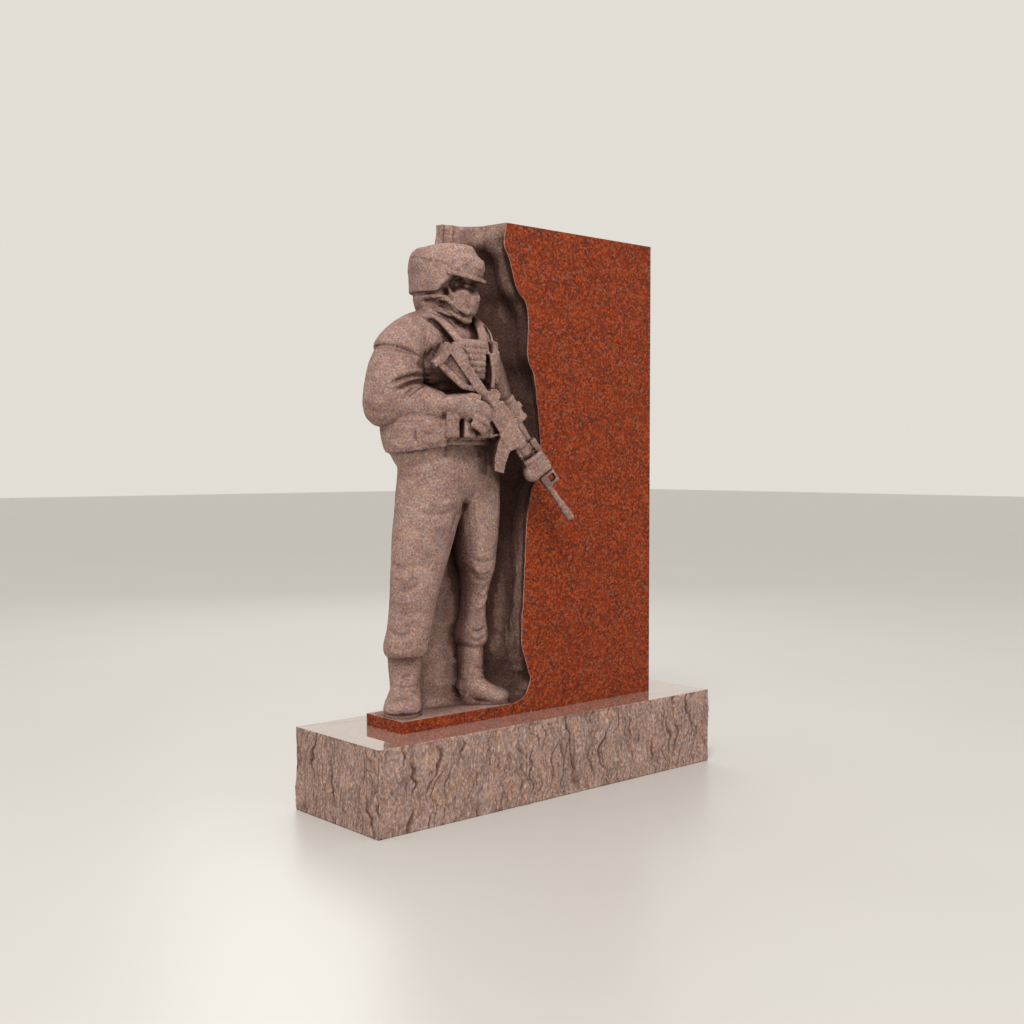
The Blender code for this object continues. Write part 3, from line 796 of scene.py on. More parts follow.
    def sleeve_marks(self) -> list[Mark]:
        """List the folds of the shoulder and the right sleeve."""
        return [
            Mark(Side.QUARTER, [
                (-197, 949), (-168, 949), (-137, 942), (-106, 938), (-85, 930), (-52, 919),
            ], 4, -3),
            Mark(Side.QUARTER, [
                (-198, 962), (-168, 963), (-137, 956), (-106, 951), (-80, 943), (-52, 934),
            ], 8, 1.8),
            Mark(Side.QUARTER, [(-52, 921), (-42, 934), (-35, 942), (-29, 925)], 4.5, -6),
            Mark(Side.QUARTER, [(-30, 928), (-22, 942), (-14, 962)], 4.5, -5),
            Mark(Side.QUARTER, [(-60, 934), (-50, 950), (-40, 962)], 6, 3),
            Mark(Side.QUARTER, [
                (-146, 846), (-122, 862), (-92, 874), (-62, 878), (-40, 876),
            ], 5, -7),
            Mark(Side.QUARTER, [(-150, 862), (-120, 877), (-88, 888), (-50, 890)], 8, 3),
            Mark(Side.QUARTER, [(-132, 832), (-104, 848), (-76, 860), (-46, 866)], 5, -6.5),
            Mark(Side.QUARTER, [(-138, 840), (-108, 857), (-78, 868), (-50, 872)], 4, 3),
            Mark(Side.QUARTER, [(-108, 808), (-88, 830), (-64, 850), (-44, 858)], 5, -5),
            Mark(Side.QUARTER, [(-120, 820), (-96, 840), (-70, 855)], 5, 3),
            Mark(Side.QUARTER, [(-72, 812), (-62, 834), (-50, 850)], 4, -3.5),
            Mark(Side.QUARTER, [(-44, 818), (-42, 832), (-40, 842)], 4, -3),
            Mark(Side.QUARTER, [(-216, 872), (-196, 862), (-170, 862)], 7, -2.5),
            Mark(Side.QUARTER, [(-210, 820), (-176, 806), (-140, 806)], 9, 2.5),
            Mark(Side.QUARTER, [(-206, 792), (-170, 780), (-120, 782)], 8, -2.5),
        ]

    def skirt_marks(self) -> list[Mark]:
        """List the folds of the jacket's skirt and the flap of its pocket."""
        return [
            Mark(Side.QUARTER, [(-140, 751), (-110, 756), (-74, 757), (-44, 762)], 4, -4),
            Mark(Side.QUARTER, [(-142, 738), (-112, 742), (-78, 742)], 6, 3),
            Mark(Side.QUARTER, [(-76, 742), (-78, 726), (-76, 702)], 4, -5),
            Mark(Side.QUARTER, [(-64, 736), (-46, 726), (-24, 730)], 5, -3),
            Mark(Side.QUARTER, [(-150, 716), (-130, 700), (-104, 692)], 7, 3),
            Mark(Side.QUARTER, [(-60, 712), (-36, 706), (-12, 716)], 7, 3),
        ]

    def vest_marks(self) -> list[Mark]:
        """List the edges of the collar and the webbing's rows and columns."""
        collar = [
            Mark(Side.QUARTER, [(-69, 1036), (-44, 1022), (-20, 1003), (1, 981), (21, 955)], 4, -7),
            Mark(Side.QUARTER, [
                (-66, 1051), (-39, 1044), (-12, 1031), (12, 1014), (29, 1000),
            ], 4, -5),
        ]
        rows = [
            Mark(Side.FRONT, [(-34, up), (6, up), (46, up)], 2.6, -2.4, False)
            for up in range(950, 885, -16)
        ]
        columns = [
            Mark(Side.FRONT, [(x, 962), (x, 920), (x, 876)], 2.6, -2.2, False)
            for x in (-18, 6, 30)
        ]
        return collar + rows + columns

    def trouser_marks(self) -> list[Mark]:
        """List the folds of the trousers, most of them at the knees and ankles."""
        return [
            Mark(Side.QUARTER, [(54, 556), (26, 520), (8, 470)], 8, -6),
            Mark(Side.QUARTER, [(40, 560), (-10, 548), (-60, 560)], 9, 4),
            Mark(Side.QUARTER, [(30, 534), (-20, 520), (-70, 528)], 7, -4),
            Mark(Side.QUARTER, [(-10, 498), (-50, 488), (-96, 500)], 9, 3),
            Mark(Side.QUARTER, [(-120, 640), (-100, 600), (-84, 550)], 10, 3),
            Mark(Side.QUARTER, [(-40, 660), (-30, 610), (-26, 560)], 8, -3.5),
            Mark(Side.QUARTER, [(10, 650), (24, 610), (40, 590)], 8, -3),
            Mark(Side.QUARTER, [(-132, 470), (-118, 430), (-112, 400)], 8, -3),
            Mark(Side.QUARTER, [(-160, 396), (-120, 384), (-70, 392)], 8, -4),
            Mark(Side.QUARTER, [(-154, 372), (-110, 360), (-60, 374)], 8, 4),
            Mark(Side.QUARTER, [(-64, 348), (-90, 330), (-130, 318)], 8, -4.5),
            Mark(Side.QUARTER, [(-154, 300), (-110, 296), (-70, 306)], 8, 3),
            Mark(Side.QUARTER, [(-150, 276), (-112, 264), (-74, 272)], 7, -3.5),
            Mark(Side.QUARTER, [(-150, 250), (-120, 240), (-80, 252)], 7, 3),
            Mark(Side.QUARTER, [(-156, 222), (-120, 210), (-84, 220)], 6, -4),
            Mark(Side.QUARTER, [(-152, 200), (-120, 192), (-84, 198)], 6, 3),
            Mark(Side.QUARTER, [(-150, 180), (-120, 172), (-88, 178)], 5, -3.5),
            Mark(Side.QUARTER, [(62, 398), (90, 388), (120, 396)], 7, -4),
            Mark(Side.QUARTER, [(60, 376), (84, 364), (112, 370)], 7, 5),
            Mark(Side.QUARTER, [(62, 352), (86, 340), (106, 344)], 6, -4),
            Mark(Side.QUARTER, [(100, 326), (80, 300), (62, 290)], 6, -4),
            Mark(Side.QUARTER, [(102, 300), (86, 272), (66, 262)], 7, 4),
            Mark(Side.QUARTER, [(96, 256), (74, 240), (58, 246)], 6, -3),
            Mark(Side.QUARTER, [(100, 212), (76, 202), (50, 212)], 5, -5),
            Mark(Side.QUARTER, [(98, 198), (74, 188), (52, 196)], 5, 4),
            Mark(Side.QUARTER, [(96, 184), (70, 174), (56, 182)], 4, -4),
        ]

    def boot_marks(self) -> list[Mark]:
        """List the soles' edge and the creases over the ankles."""
        return [
            Mark(Side.QUARTER, [(-190, 20), (-130, 10), (-66, 14)], 3.5, -3, False),
            Mark(Side.QUARTER, [(-140, 104), (-112, 98), (-84, 104)], 6, -3),
            Mark(Side.QUARTER, [(-144, 84), (-112, 78), (-82, 84)], 6, 2.5),
            Mark(Side.QUARTER, [(64, 104), (84, 96), (100, 102)], 5, -3),
            Mark(Side.QUARTER, [(70, 84), (92, 74), (112, 72)], 5, 2.5),
        ]

    def head_marks(self) -> list[Mark]:
        """List the cover's seams and the folds of mask and scarf."""
        return [
            Mark(Side.QUARTER, [
                (-98, 1197), (-72, 1190), (-41, 1181), (-21, 1177), (-1, 1171), (10, 1163),
                (17, 1152),
            ], 3, 1.8, False),
            Mark(Side.QUARTER, [
                (-98, 1189), (-72, 1182), (-41, 1173), (-21, 1169), (-3, 1163), (6, 1156),
            ], 3.5, -1.6, False),
            Mark(Side.QUARTER, [(16, 1132), (14, 1112), (12, 1098)], 4, -3),
            Mark(Side.QUARTER, [(-72, 1074), (-45, 1074), (-18, 1078), (6, 1080)], 4, -5),
            Mark(Side.QUARTER, [(-68, 1088), (-44, 1088), (-22, 1094), (2, 1095)], 4.5, 3.5),
            Mark(Side.QUARTER, [(6, 1092), (16, 1074), (28, 1056), (42, 1044)], 4, -3.5),
            Mark(Side.QUARTER, [(-4, 1084), (8, 1064), (22, 1046), (38, 1034)], 4.5, 3),
            Mark(Side.QUARTER, [(-60, 1060), (-30, 1056), (0, 1042), (22, 1024)], 4.5, -4),
        ]

    def back_marks(self) -> list[Mark]:
        """List the few folds of the back."""
        return [
            Mark(Side.BACK, [(-110, 850), (-60, 816), (0, 808), (70, 816), (130, 850)], 8, -3),
            Mark(Side.BACK, [(-120, 560), (-40, 544), (20, 560)], 9, -3),
            Mark(Side.BACK, [(0, 690), (2, 620), (6, 560)], 5, -5),
            Mark(Side.BACK, [(40, 400), (90, 388), (150, 396)], 8, -3),
            Mark(Side.BACK, [(44, 376), (92, 364), (146, 372)], 8, 3),
        ]

    def marks(self) -> list[Mark]:
        """List every fold, seam and edge that is cut into the figure, in order."""
        return (
            self.sleeve_marks() + self.skirt_marks() + self.vest_marks() + self.trouser_marks()
            + self.boot_marks() + self.head_marks() + self.back_marks()
        )

    def build(self) -> bpy.types.Mesh:
        """Fuse the soldier's forms and cut the marks into them."""
        clay = Clay()
        for form in (
            self.trousers, self.skirt, self.trunk, self.sleeves, self.pouches, self.vest,
            self.head, self.right_hand, self.left_hand,
        ):
            form(clay)
        self.boot(clay, (-119, 38, 0), turn=-42, width=1.20)
        self.boot(clay, (93, 24, 0), turn=40, width=1.0)
        mesh = clay.fused("soldier", self.grain, self.smoothing)
        chisel = Chisel(mesh)
        for mark in self.marks():
            chisel.draw(mark)
        chisel.finish(self.waviness)
        return mesh


# The rifle


@dataclass
class Rifle:
    """A carbine with a folding stock, held across the body.

    Its forms lie along X from the butt, with +Z to the sights.

    Attributes:
        butt: The bore line's start, in the figure's millimetres.
        muzzle: Its end.
        sights_face: The way that the sights roughly look.
        grain: The size of the cells that fuse the forms.
        smoothing: How many times the fused forms are smoothed.
    """

    butt: Point = (-73, -99, 955)
    muzzle: Point = (293, -162, 505)
    sights_face: Point = (0.66, -0.25, 0.62)
    grain: float = 2.2
    smoothing: int = 1

    @property
    def length(self) -> float:
        """Return the distance from the butt to the muzzle."""
        return (Vector(self.muzzle) - Vector(self.butt)).length

    def place(self) -> Matrix:
        """Return the matrix that takes the rifle's own axes to the figure's."""
        forward = (Vector(self.muzzle) - Vector(self.butt)).normalized()
        face = Vector(self.sights_face)
        up = (face - forward * face.dot(forward)).normalized()
        turn = Matrix((forward, up.cross(forward), up)).transposed().to_4x4()
        return Matrix.Translation(Vector(self.butt)) @ turn

    def stock(self, clay: Clay) -> None:
        """Lay the butt pad, the stock's frame and its tube."""
        clay.plate([
            (-12, -4), (-8, -18), (2, -36), (4, -68), (19, -70), (23, -42), (17, -20), (6, 0),
        ], 27)
        clay.plate([
            (4, -17), (0, 12), (14, 20), (38, 18), (74, 9), (190, 8), (190, -20), (120, -18),
        ], 23)
        clay.plate([(10, -63), (12, -48), (100, -29), (130, -14), (142, -18), (106, -46)], 18)
        clay.plate([(8, -14), (14, -58), (134, -16)], 6)
        clay.bar(150, 202, -5, 13.5)
        clay.bar(190, 206, 0, 16)

    def receiver(self, clay: Clay) -> None:
        """Lay the receiver, the grip, the trigger guard and the magazine."""
        clay.plate([
            (186, -14), (200, -30), (262, -30), (266, -36), (320, -36), (326, -16), (326, 8),
            (186, 8),
        ], 26)
        clay.plate([(182, 4), (326, 4), (326, 20), (196, 21), (184, 16)], 22)
        clay.plate([(194, -24), (222, -26), (204, -84), (178, -80)], 23)
        clay.plate([(222, -52), (262, -52), (268, -34), (262, -34), (256, -46), (226, -46)], 12)
        clay.plate([
            (268, -30), (318, -30), (325, -42), (340, -66), (356, -84), (334, -101), (308, -81),
            (284, -52),
        ], 19)
        clay.bar(232, 252, -6, 5)
        clay.plate([(246, -14), (268, -14), (268, -4), (246, -4)], 30)

    def barrel(self, clay: Clay) -> None:
        """Lay the handguard with its rails, the barrel and the muzzle."""
        clay.bar(322, 426, 0, 15.5)
        clay.bar(322, 334, 0, 18)
        clay.bar(416, 426, 0, 17.5)
        clay.plate([(326, 12), (424, 12), (424, 19), (326, 19)], 14)
        clay.plate([(330, -20), (420, -20), (420, -12), (330, -12)], 14)
        for tooth in range(336, 424, 11):
            clay.plate([(tooth, -22), (tooth + 6, -22), (tooth + 6, 0), (tooth, 0)], 12)
        clay.bar(420, self.length, 0, 8.6)
        clay.bar(self.length - 54, self.length - 46, 0, 11)
        clay.bar(self.length - 40, self.length, 0, 11.2)

    def sights(self, clay: Clay) -> None:
        """Lay the rear knob, the sight, the lamp on the rail and the front post."""
        clay.plate([(158, 4), (192, 8), (192, 26), (184, 33), (166, 31), (158, 20)], 24)
        clay.plate([(200, 16), (282, 16), (282, 27), (200, 27)], 20)
        clay.bar(206, 276, 42, 17)
        clay.bar(206, 216, 42, 19)
        clay.bar(268, 278, 42, 19)
        clay.plate([(232, 50), (250, 50), (250, 65), (232, 65)], 16)
        clay.plate([(340, 16), (352, 16), (352, 30), (340, 30)], 12)
        clay.plate([(404, 16), (418, 16), (418, 30), (404, 30)], 12)
        clay.bar(338, 420, 32, 9.5)
        clay.plate([(336, 24), (372, 24), (372, 42), (336, 42)], 20)
        clay.plate([(438, 0), (446, 0), (446, 36), (438, 36)], 14)
        clay.plate([(438, 29), (472, 29), (472, 36), (438, 36)], 14)
        clay.plate([(464, 0), (472, 0), (472, 36), (464, 36)], 14)
        clay.plate([(434, -10), (474, -10), (474, 10), (434, 10)], 20)

    def build(self) -> bpy.types.Mesh:
        """Fuse the rifle into one mesh in the figure's millimetres."""
        forms = Clay()
        for part in (self.stock, self.receiver, self.barrel, self.sights):
            part(forms)
        clay = Clay()
        clay.add(forms, self.place())
        return clay.fused("rifle", self.grain, self.smoothing)


# The stones


@dataclass
class Headstone:
    """The tablet, its niche and the soldier, which are one block of red granite.

    Attributes:
        length: The tablet's length, left to right.
        depth: Its thickness, front to back.
        foot: Its underside's height.
        top: Its top's height.
        ledge: The thickness of the stone left under the soldier.
        figure_from_end: From the tablet's left end to the figure's middle.
        sink: How far the boots run into the ledge.
        floor_radius: The hollow corner between the ledge and the wall behind the soldier.
        wall: The thickness of that wall at its outer end.
        wall_foot: How much thicker it is at the ledge, as a share.
        wall_chip: How far its outer end is chipped back.
        wall_wave: How far that end sways.
        scoop_depth: How much deeper the niche is cut below the ridge near its top.
        scoop_ridge: Where that ridge starts at the face, as a share of the niche's height.
        scoop_fall: How far the ridge drops from the face to the back, as such a share.
        scoop_blend: The height of the ridge's slope, as such a share.
        chip: The chamfer that is chipped off the face's edge.
        edge_wave: How far the face's edge sways between its named points.
        lean: How far the side wall draws back from the face's edge.
        corner: The hollow corner between the side wall and the wall behind.
        corner_share: The most of the niche's depth that the corner takes.
        overcut: How far the niche's cutter runs past the stone.
        rows: Levels of the niche.
        steps: Points along each stretch of a level.
        kept: The share of the faces that the soldier and the rifle keep.
        crest: Edges sharper than this, in degrees, are shaded as edges.
        wide_hollow: How far away stone blocks the air of a wide hollow, for the painted shade.
        narrow_hollow: The same for a narrow hollow.
        face_edge: The polished face's edge beside the niche, as (share of the niche's height,
            distance from the tablet's left end).
        wall_edge: The same for the outer end of the wall behind the soldier.
    """

    length: float = 0.914
    depth: float = 0.156
    foot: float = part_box("headstone")[0][2]
    top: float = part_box("headstone")[1][2]
    ledge: float = 0.030
    figure_from_end: float = 0.212
    sink: float = 0.004
    floor_radius: float = 0.045
    wall: float = 0.026
    wall_foot: float = 1.5
    wall_chip: float = 0.006
    wall_wave: float = 0.004
    scoop_depth: float = 0.016
    scoop_ridge: float = 0.994
    scoop_fall: float = 0.04
    scoop_blend: float = 0.014
    chip: float = 0.0018
    edge_wave: float = 0.0022
    lean: float = 0.012
    corner: float = 0.062
    corner_share: float = 0.6
    overcut: float = 0.05
    rows: int = 120
    steps: int = 16
    kept: float = 0.41
    crest: float = 38.0
    wide_hollow: float = 0.30
    narrow_hollow: float = 0.045
    face_edge: list[tuple[float, float]] = field(default_factory=lambda: [
        (0.000, 0.372), (0.010, 0.410), (0.030, 0.428), (0.047, 0.436), (0.075, 0.424),
        (0.130, 0.404), (0.220, 0.410), (0.300, 0.416), (0.390, 0.424), (0.445, 0.440),
        (0.480, 0.458), (0.535, 0.473), (0.600, 0.466), (0.640, 0.459), (0.690, 0.449),
        (0.715, 0.430), (0.740, 0.424), (0.800, 0.428), (0.842, 0.418), (0.858, 0.394),
        (0.880, 0.379), (0.925, 0.360), (0.953, 0.342), (0.975, 0.343), (1.000, 0.349),
    ])
    wall_edge: list[tuple[float, float]] = field(default_factory=lambda: [
        (0.000, 0.110), (0.150, 0.118), (0.350, 0.140), (0.550, 0.158), (0.700, 0.180),
        (0.820, 0.205), (0.910, 0.228), (1.000, 0.238),
    ])

    @property
    def left(self) -> float:
        """Return the tablet's left end."""
        return -self.length / 2

    @property
    def front(self) -> float:
        """Return the polished front's place along Y."""
        return -self.depth / 2

    @property
    def ledge_top(self) -> float:
        """Return the height of the ledge's top."""
        return self.foot + self.ledge

    def roughness(self, height: float, along: float) -> float:
        """Return how far the carved wall is cut in at a height and a place along it."""
        broad = noise.noise(Vector((height * 5.0, along * 9.0, 2.1)))
        fine = noise.noise(Vector((height * 14.0, along * 20.0, 8.4)))
        tool = noise.noise(Vector((height * 46.0, along * 60.0, 4.2)))
        return 0.010 * broad + 0.005 * fine + 0.0016 * tool

    def scoop(self, share: float, depth: float) -> float:
        """Return how much deeper the wall is cut below the ridge from the face's top corner."""
        below = self.scoop_ridge - self.scoop_fall * depth - share
        return self.scoop_depth * max(0.0, min(1.0, below / self.scoop_blend))

    def section(self, share: float) -> list[tuple[float, float]]:
        """Outline what is carved away at one level, from the front to past the back.

        Args:
            share: The level's height over the ledge as a share of the niche's height.

        Returns:
            Points as (x, y).
        """
        span = self.top - self.ledge_top
        face = self.left + curve_value(self.face_edge, share)
        face += self.edge_wave * noise.noise(Vector((share * 90.0, 0.0, 5.5)))
        outer = self.left + curve_value(self.wall_edge, share)
        back = self.depth / 2
        wall = back - self.wall * (self.wall_foot - (self.wall_foot - 1) * share)
        rise = max(0.0, self.floor_radius - share * span)
        swell = self.floor_radius - (self.floor_radius**2 - rise**2) ** 0.5 if rise else 0.0
        corner = min(self.corner, (wall - self.front) * self.corner_share)
        straight = wall - corner - self.front
        points = [
            (face, self.front - self.overcut), (face, self.front),
            (face - self.chip, self.front + self.chip),
        ]
        for step in range(1, self.steps + 1):
            t = step / self.steps
            rough = self.roughness(share, t * 0.1) * min(1.0, t * 6)
            x = face - self.lean * t + self.scoop(share, t) * min(1.0, t * 3)
            points.append((x - rough, self.front + self.chip + (straight - self.chip) * t))
        for step in range(1, self.steps + 1):
            turn = step / self.steps * pi / 2
            x = face - self.lean - corner * (1 - cos(turn)) + self.scoop(share, 1.0) * cos(turn)
            y = wall - corner + corner * sin(turn)
            points.append((
                x - self.roughness(share, 0.2 + turn * 0.05) * cos(turn / 2),
                y - self.roughness(share, 0.4 + turn * 0.05) * sin(turn),
            ))
        start = face - self.lean - corner
        for step in range(1, self.steps + 1):
            t = step / self.steps
            points.append((
                start + (outer - start) * t,
                wall - swell * (1 - t) - self.roughness(share, 0.4 + pi * 0.025 + t * 0.2),
            ))
        sway = self.wall_wave * noise.noise(Vector((share * 30.0, 3.0, 1.0)))
        edge = outer - self.wall_chip + sway
        return points + [(edge, back), (edge, back + self.overcut)]

    def niche(self) -> bpy.types.Object:
        """Build the solid that is carved away from the tablet."""
        bm = bmesh.new()
        loops = []
        for row in range(self.rows + 1):
            share = (row / self.rows) ** 1.25
            height = self.ledge_top + (self.top - self.ledge_top) * share
            if row == self.rows:
                height += self.overcut
            outer = self.left - self.overcut
            outline = self.section(share)
            outline += [(outer, outline[-1][1]), (outer, outline[0][1])]
            loop = [bm.verts.new((x, y, height)) for x, y in outline]
            loops.append([bm.edges.new((loop[i - 1], loop[i])) for i in range(len(loop))])
        for lower, upper in zip(loops, loops[1:]):
            bmesh.ops.bridge_loops(bm, edges=lower + upper)
        bmesh.ops.contextual_create(bm, geom=loops[0])
        bmesh.ops.contextual_create(bm, geom=loops[-1])
        bmesh.ops.triangulate(bm, faces=bm.faces)
        return link_mesh(mesh_from(bm, "niche"), "niche")

    def to_ledge(self) -> Matrix:
        """Return the matrix that takes the figure's millimetres to its place on the ledge."""
        foot = Vector((self.left + self.figure_from_end, 0, self.ledge_top - self.sink))
        return Matrix.Translation(foot) @ Matrix.Scale(MM, 4)

    def placed(self, mesh: bpy.types.Mesh) -> bpy.types.Object:
        """Set a carved mesh on the ledge with a share of its faces."""
        mesh.transform(self.to_ledge())
        obj = link_mesh(mesh, mesh.name)
        thin = obj.modifiers.new("Thin", "DECIMATE")
        thin.ratio = self.kept
        return link_mesh(evaluated_copy(obj, mesh.name), mesh.name)

    def sawn(self, face: bmesh.types.BMFace) -> bool:
        """Tell whether a face lies on one of the block's flat polished sides."""
        middle, normal = face.calc_center_median(), face.normal
        flats = (
            (0, -1, self.left), (0, 1, -self.left), (1, -1, self.front), (1, 1, -self.front),
            (2, 1, self.top), (2, -1, self.foot),
        )
        return any(
            normal[axis] * way > 0.999 and abs(middle[axis] - place) < 0.0004
            for axis, way, place in flats
        )

    def build(self) -> bpy.types.Object:
        """Build the finished stone as one closed piece with two finishes."""
        bm = bmesh.new()
        middle = Vector((0, 0, (self.foot + self.top) / 2))
        size = Vector((self.length, self.depth, self.top - self.foot))
        bmesh.ops.create_cube(
            bm, size=1.0, matrix=Matrix.Translation(middle) @ Matrix.Diagonal(size).to_4x4()
        )
        stone = link_mesh(mesh_from(bm, "tablet"), "tablet")
        helpers = [
            ("DIFFERENCE", self.niche()),
            ("UNION", self.placed(Soldier().build())),
            ("UNION", self.placed(Rifle().build())),
        ]
        for operation, other in helpers:
            step = stone.modifiers.new(other.name, "BOOLEAN")
            step.operation = operation
            step.solver = "MANIFOLD"
            step.object = other
        mesh = evaluated_copy(stone, "headstone_stone")
        for _, other in helpers:
            bpy.data.objects.remove(other)
        keep_largest_shell(mesh)
        self.dress(mesh)
        piece = link_mesh(mesh, "headstone_stone")
        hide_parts("headstone")
        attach(piece, "root")
        return piece

    def dress(self, mesh: bpy.types.Mesh) -> None:
        """Give the flat sides the polish and everything carved the matt finish."""
        mesh.materials.clear()
        mesh.materials.append(RedGranite(Finish.POLISHED).material())
        mesh.materials.append(RedGranite(Finish.CARVED).material())
        bm = bmesh.new()
        bm.from_mesh(mesh)
        for face in bm.faces:
            flat = self.sawn(face)
            face.material_index = 0 if flat else 1
            face.smooth = not flat
        for edge in bm.edges:
            edge.smooth = edge.calc_face_angle(0.0) < radians(self.crest)
        carved = {v.index for face in bm.faces if face.material_index for v in face.verts}
        bm.to_mesh(mesh)
        bm.free()
        # Measure how blocked the carved stone's air is, which its material paints as shade.
        HollowShade(mesh, self.wide_hollow, self.narrow_hollow).paint(carved)


@dataclass
class BaseStone:
    """The rock-pitched base, whose sides are broken rough and whose top is polished.

    Attributes:
        length: Left to right, before the sides are broken.
        depth: Front to back.
        height: Underside to top.
        attribute: The name of the colour attribute whose red is the creases' depth, which the
        carved material paints as shade.
        relief: How far the broken sides stand in and out.
        inset: How far in from the length and depth their middle lies, as a share of the relief.
        margin: The height of the straighter strips along the top and the underside.
        cell: The size of the faces of the broken sides.
        crease_depth: The depth of the deepest crease.
        furthest: The most that a point stands out.
        families: Large, middling and small creases, as (how close together, how narrow, how deep
            as a share of the deepest, where in the noise).
        nudge: How far along the noise its steepness is read.
    """

    length: float = 1.220
    depth: float = 0.370
    height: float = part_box("base")[1][2]
    attribute: str = "crease"
    relief: float = 0.007
    inset: float = 0.6
    margin: float = 0.006
    cell: float = 0.0036
    crease_depth: float = 0.0050
    furthest: float = 0.0044
    families: tuple[tuple[float, float, float, float], ...] = (
        (15.0, 13.0, 0.9, 9.7), (30.0, 9.0, 0.7, 4.4), (52.0, 6.0, 0.5, 1.9),
    )
    nudge: float = 0.08

    def crease(self, along: float, height: float) -> float:
        """Return how deep in one of the wavy upright creases a point lies, from 0 to 1."""
        sway = 0.040 * noise.noise(Vector((along * 6.0, height * 11.0, 3.1)))
        sway += 0.017 * noise.noise(Vector((along * 18.0, height * 34.0, 8.8)))
        depth = 0.0
        for scale, sharp, most, offset in self.families:
            place = Vector(((along + sway) * scale, height * scale * 0.20, offset))
            aside = place + Vector((self.nudge, 0, 0))
            line = noise.noise(place)
            steep = abs(noise.noise(aside) - line) / self.nudge
            here = noise.noise(Vector((along * scale * 0.5, height * 12.0, offset + 3.0)))
            strength = most * max(0.0, min(1.0, 0.62 + 1.7 * here)) * min(1.0, steep * 1.4)
            depth = max(depth, strength * max(0.0, 1 - abs(line) * sharp))
        return depth

    def offset(self, along: float, height: float) -> float:
        """Return how far a point of a broken side stands out."""
        ripple = noise.noise(Vector((along * 15.0, height * 3.0, 1.7)))
        lump = noise.noise(Vector((along * 5.0, height * 9.0, 6.3)))
        scallop = noise.noise(Vector((along * 34.0, height * 11.0, 2.9)))
        broad = self.relief * (0.9 * ripple + 0.7 * lump + 0.35 * scallop)
        grain = noise.noise(Vector((along * 120.0, height * 60.0, 5.0)))
        out = broad - self.crease_depth * self.crease(along, height) + 0.0008 * grain
        return min(out, self.furthest)

    def build(self) -> bpy.types.Object:
        """Build the base as one closed piece with two finishes."""
        bm = bmesh.new()
        half_x, half_y = self.length / 2, self.depth / 2
        corners = [Vector(c) for c in (
            (-half_x, -half_y, 0), (half_x, -half_y, 0), (half_x, half_y, 0), (-half_x, half_y, 0),
        )]
        points, walked = [], 0.0
        for i, start in enumerate(corners):
            run = corners[(i + 1) % 4] - start
            last = start - corners[i - 1]
            out = Vector((run.y, -run.x, 0)).normalized()
            cells = round(run.length / self.cell)
            for k in range(cells):
                facing = out if k else out + Vector((last.y, -last.x, 0)).normalized()
                points.append((start + run * (k / cells), facing, walked + run.length * k / cells))
            walked += run.length
        rows = round(self.height / self.cell)
        loops = []
        inset = self.relief * self.inset
        for row in range(rows + 1):
            height = self.height * row / rows
            hold = min(1.0, (self.height - height) / self.margin, height / self.margin)
            loop = [
                bm.verts.new(
                    point + facing * (self.offset(place, height) * hold - inset)
                    + Vector((0, 0, height))
                )
                for point, facing, place in points
            ]
            loops.append([bm.edges.new((loop[i - 1], loop[i])) for i in range(len(loop))])
        for lower, upper in zip(loops, loops[1:]):
            bmesh.ops.bridge_loops(bm, edges=lower + upper)
        bmesh.ops.contextual_create(bm, geom=loops[0])
        bmesh.ops.contextual_create(bm, geom=loops[-1])
        # The creases' depth, which the carved material paints as shade.
        crease_shade = [
            (self.crease(place, self.height * row / rows), 0.0, 0.0, 1.0)
            for row in range(rows + 1) for _, _, place in points
        ]
        mesh = mesh_from(bm, "base_stone")
        layer = mesh.attributes.new(self.attribute, "FLOAT_COLOR", "POINT")
        for item, depth in zip(layer.data, crease_shade):
            item.color = depth
        mesh.materials.append(BrownGranite(Finish.POLISHED).material())
        mesh.materials.append(BrownGranite(Finish.CARVED).material())
        for polygon in mesh.polygons:
            level = abs(polygon.normal.z) > 0.98
            polygon.material_index = 0 if level else 1
            polygon.use_smooth = not level
        piece = link_mesh(mesh, "base_stone")
        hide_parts("base")
        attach(piece, "root")
        return piece


# Finishes


class Finish(Enum):
    """How a face of granite is worked."""

    POLISHED = "polished"
    CARVED = "carved"


class Value:
    """A number that varies over a surface, with Python's arithmetic."""

    def __init__(self, shader: Shader, socket: bpy.types.NodeSocket) -> None:
        """Wrap an output socket of a shader's node."""
        self.shader = shader
        self.socket = socket

    def _math(self, operation: str, first: Value | float, second: Value | float = 0.0) -> Value:
        """Add one Math node."""
        node = self.shader.add("ShaderNodeMath", {"operation": operation}, {0: first, 1: second})
        return Value(self.shader, node.outputs[0])

    def __add__(self, other: Value | float) -> Value:
        """Return the sum."""
        return self._math("ADD", self, other)

    def __sub__(self, other: Value | float) -> Value:
        """Return the difference."""
        return self._math("SUBTRACT", self, other)

    def __rsub__(self, other: Value | float) -> Value:
        """Return a number less this."""
        return self._math("SUBTRACT", other, self)

    def __mul__(self, other: Value | float) -> Value:
        """Return the product."""
        return self._math("MULTIPLY", self, other)

    def __abs__(self) -> Value:
        """Return the size of the number."""
        return self._math("ABSOLUTE", self)

    __radd__ = __add__
    __rmul__ = __mul__

    def band(self, low: float, high: float) -> Value:
        """Return 0 below low, 1 above high and a ramp between."""
        node = self.shader.add(
            "ShaderNodeMapRange", {"clamp": True},
            {"Value": self, "From Min": low, "From Max": high},
        )
        return Value(self.shader, node.outputs["Result"])


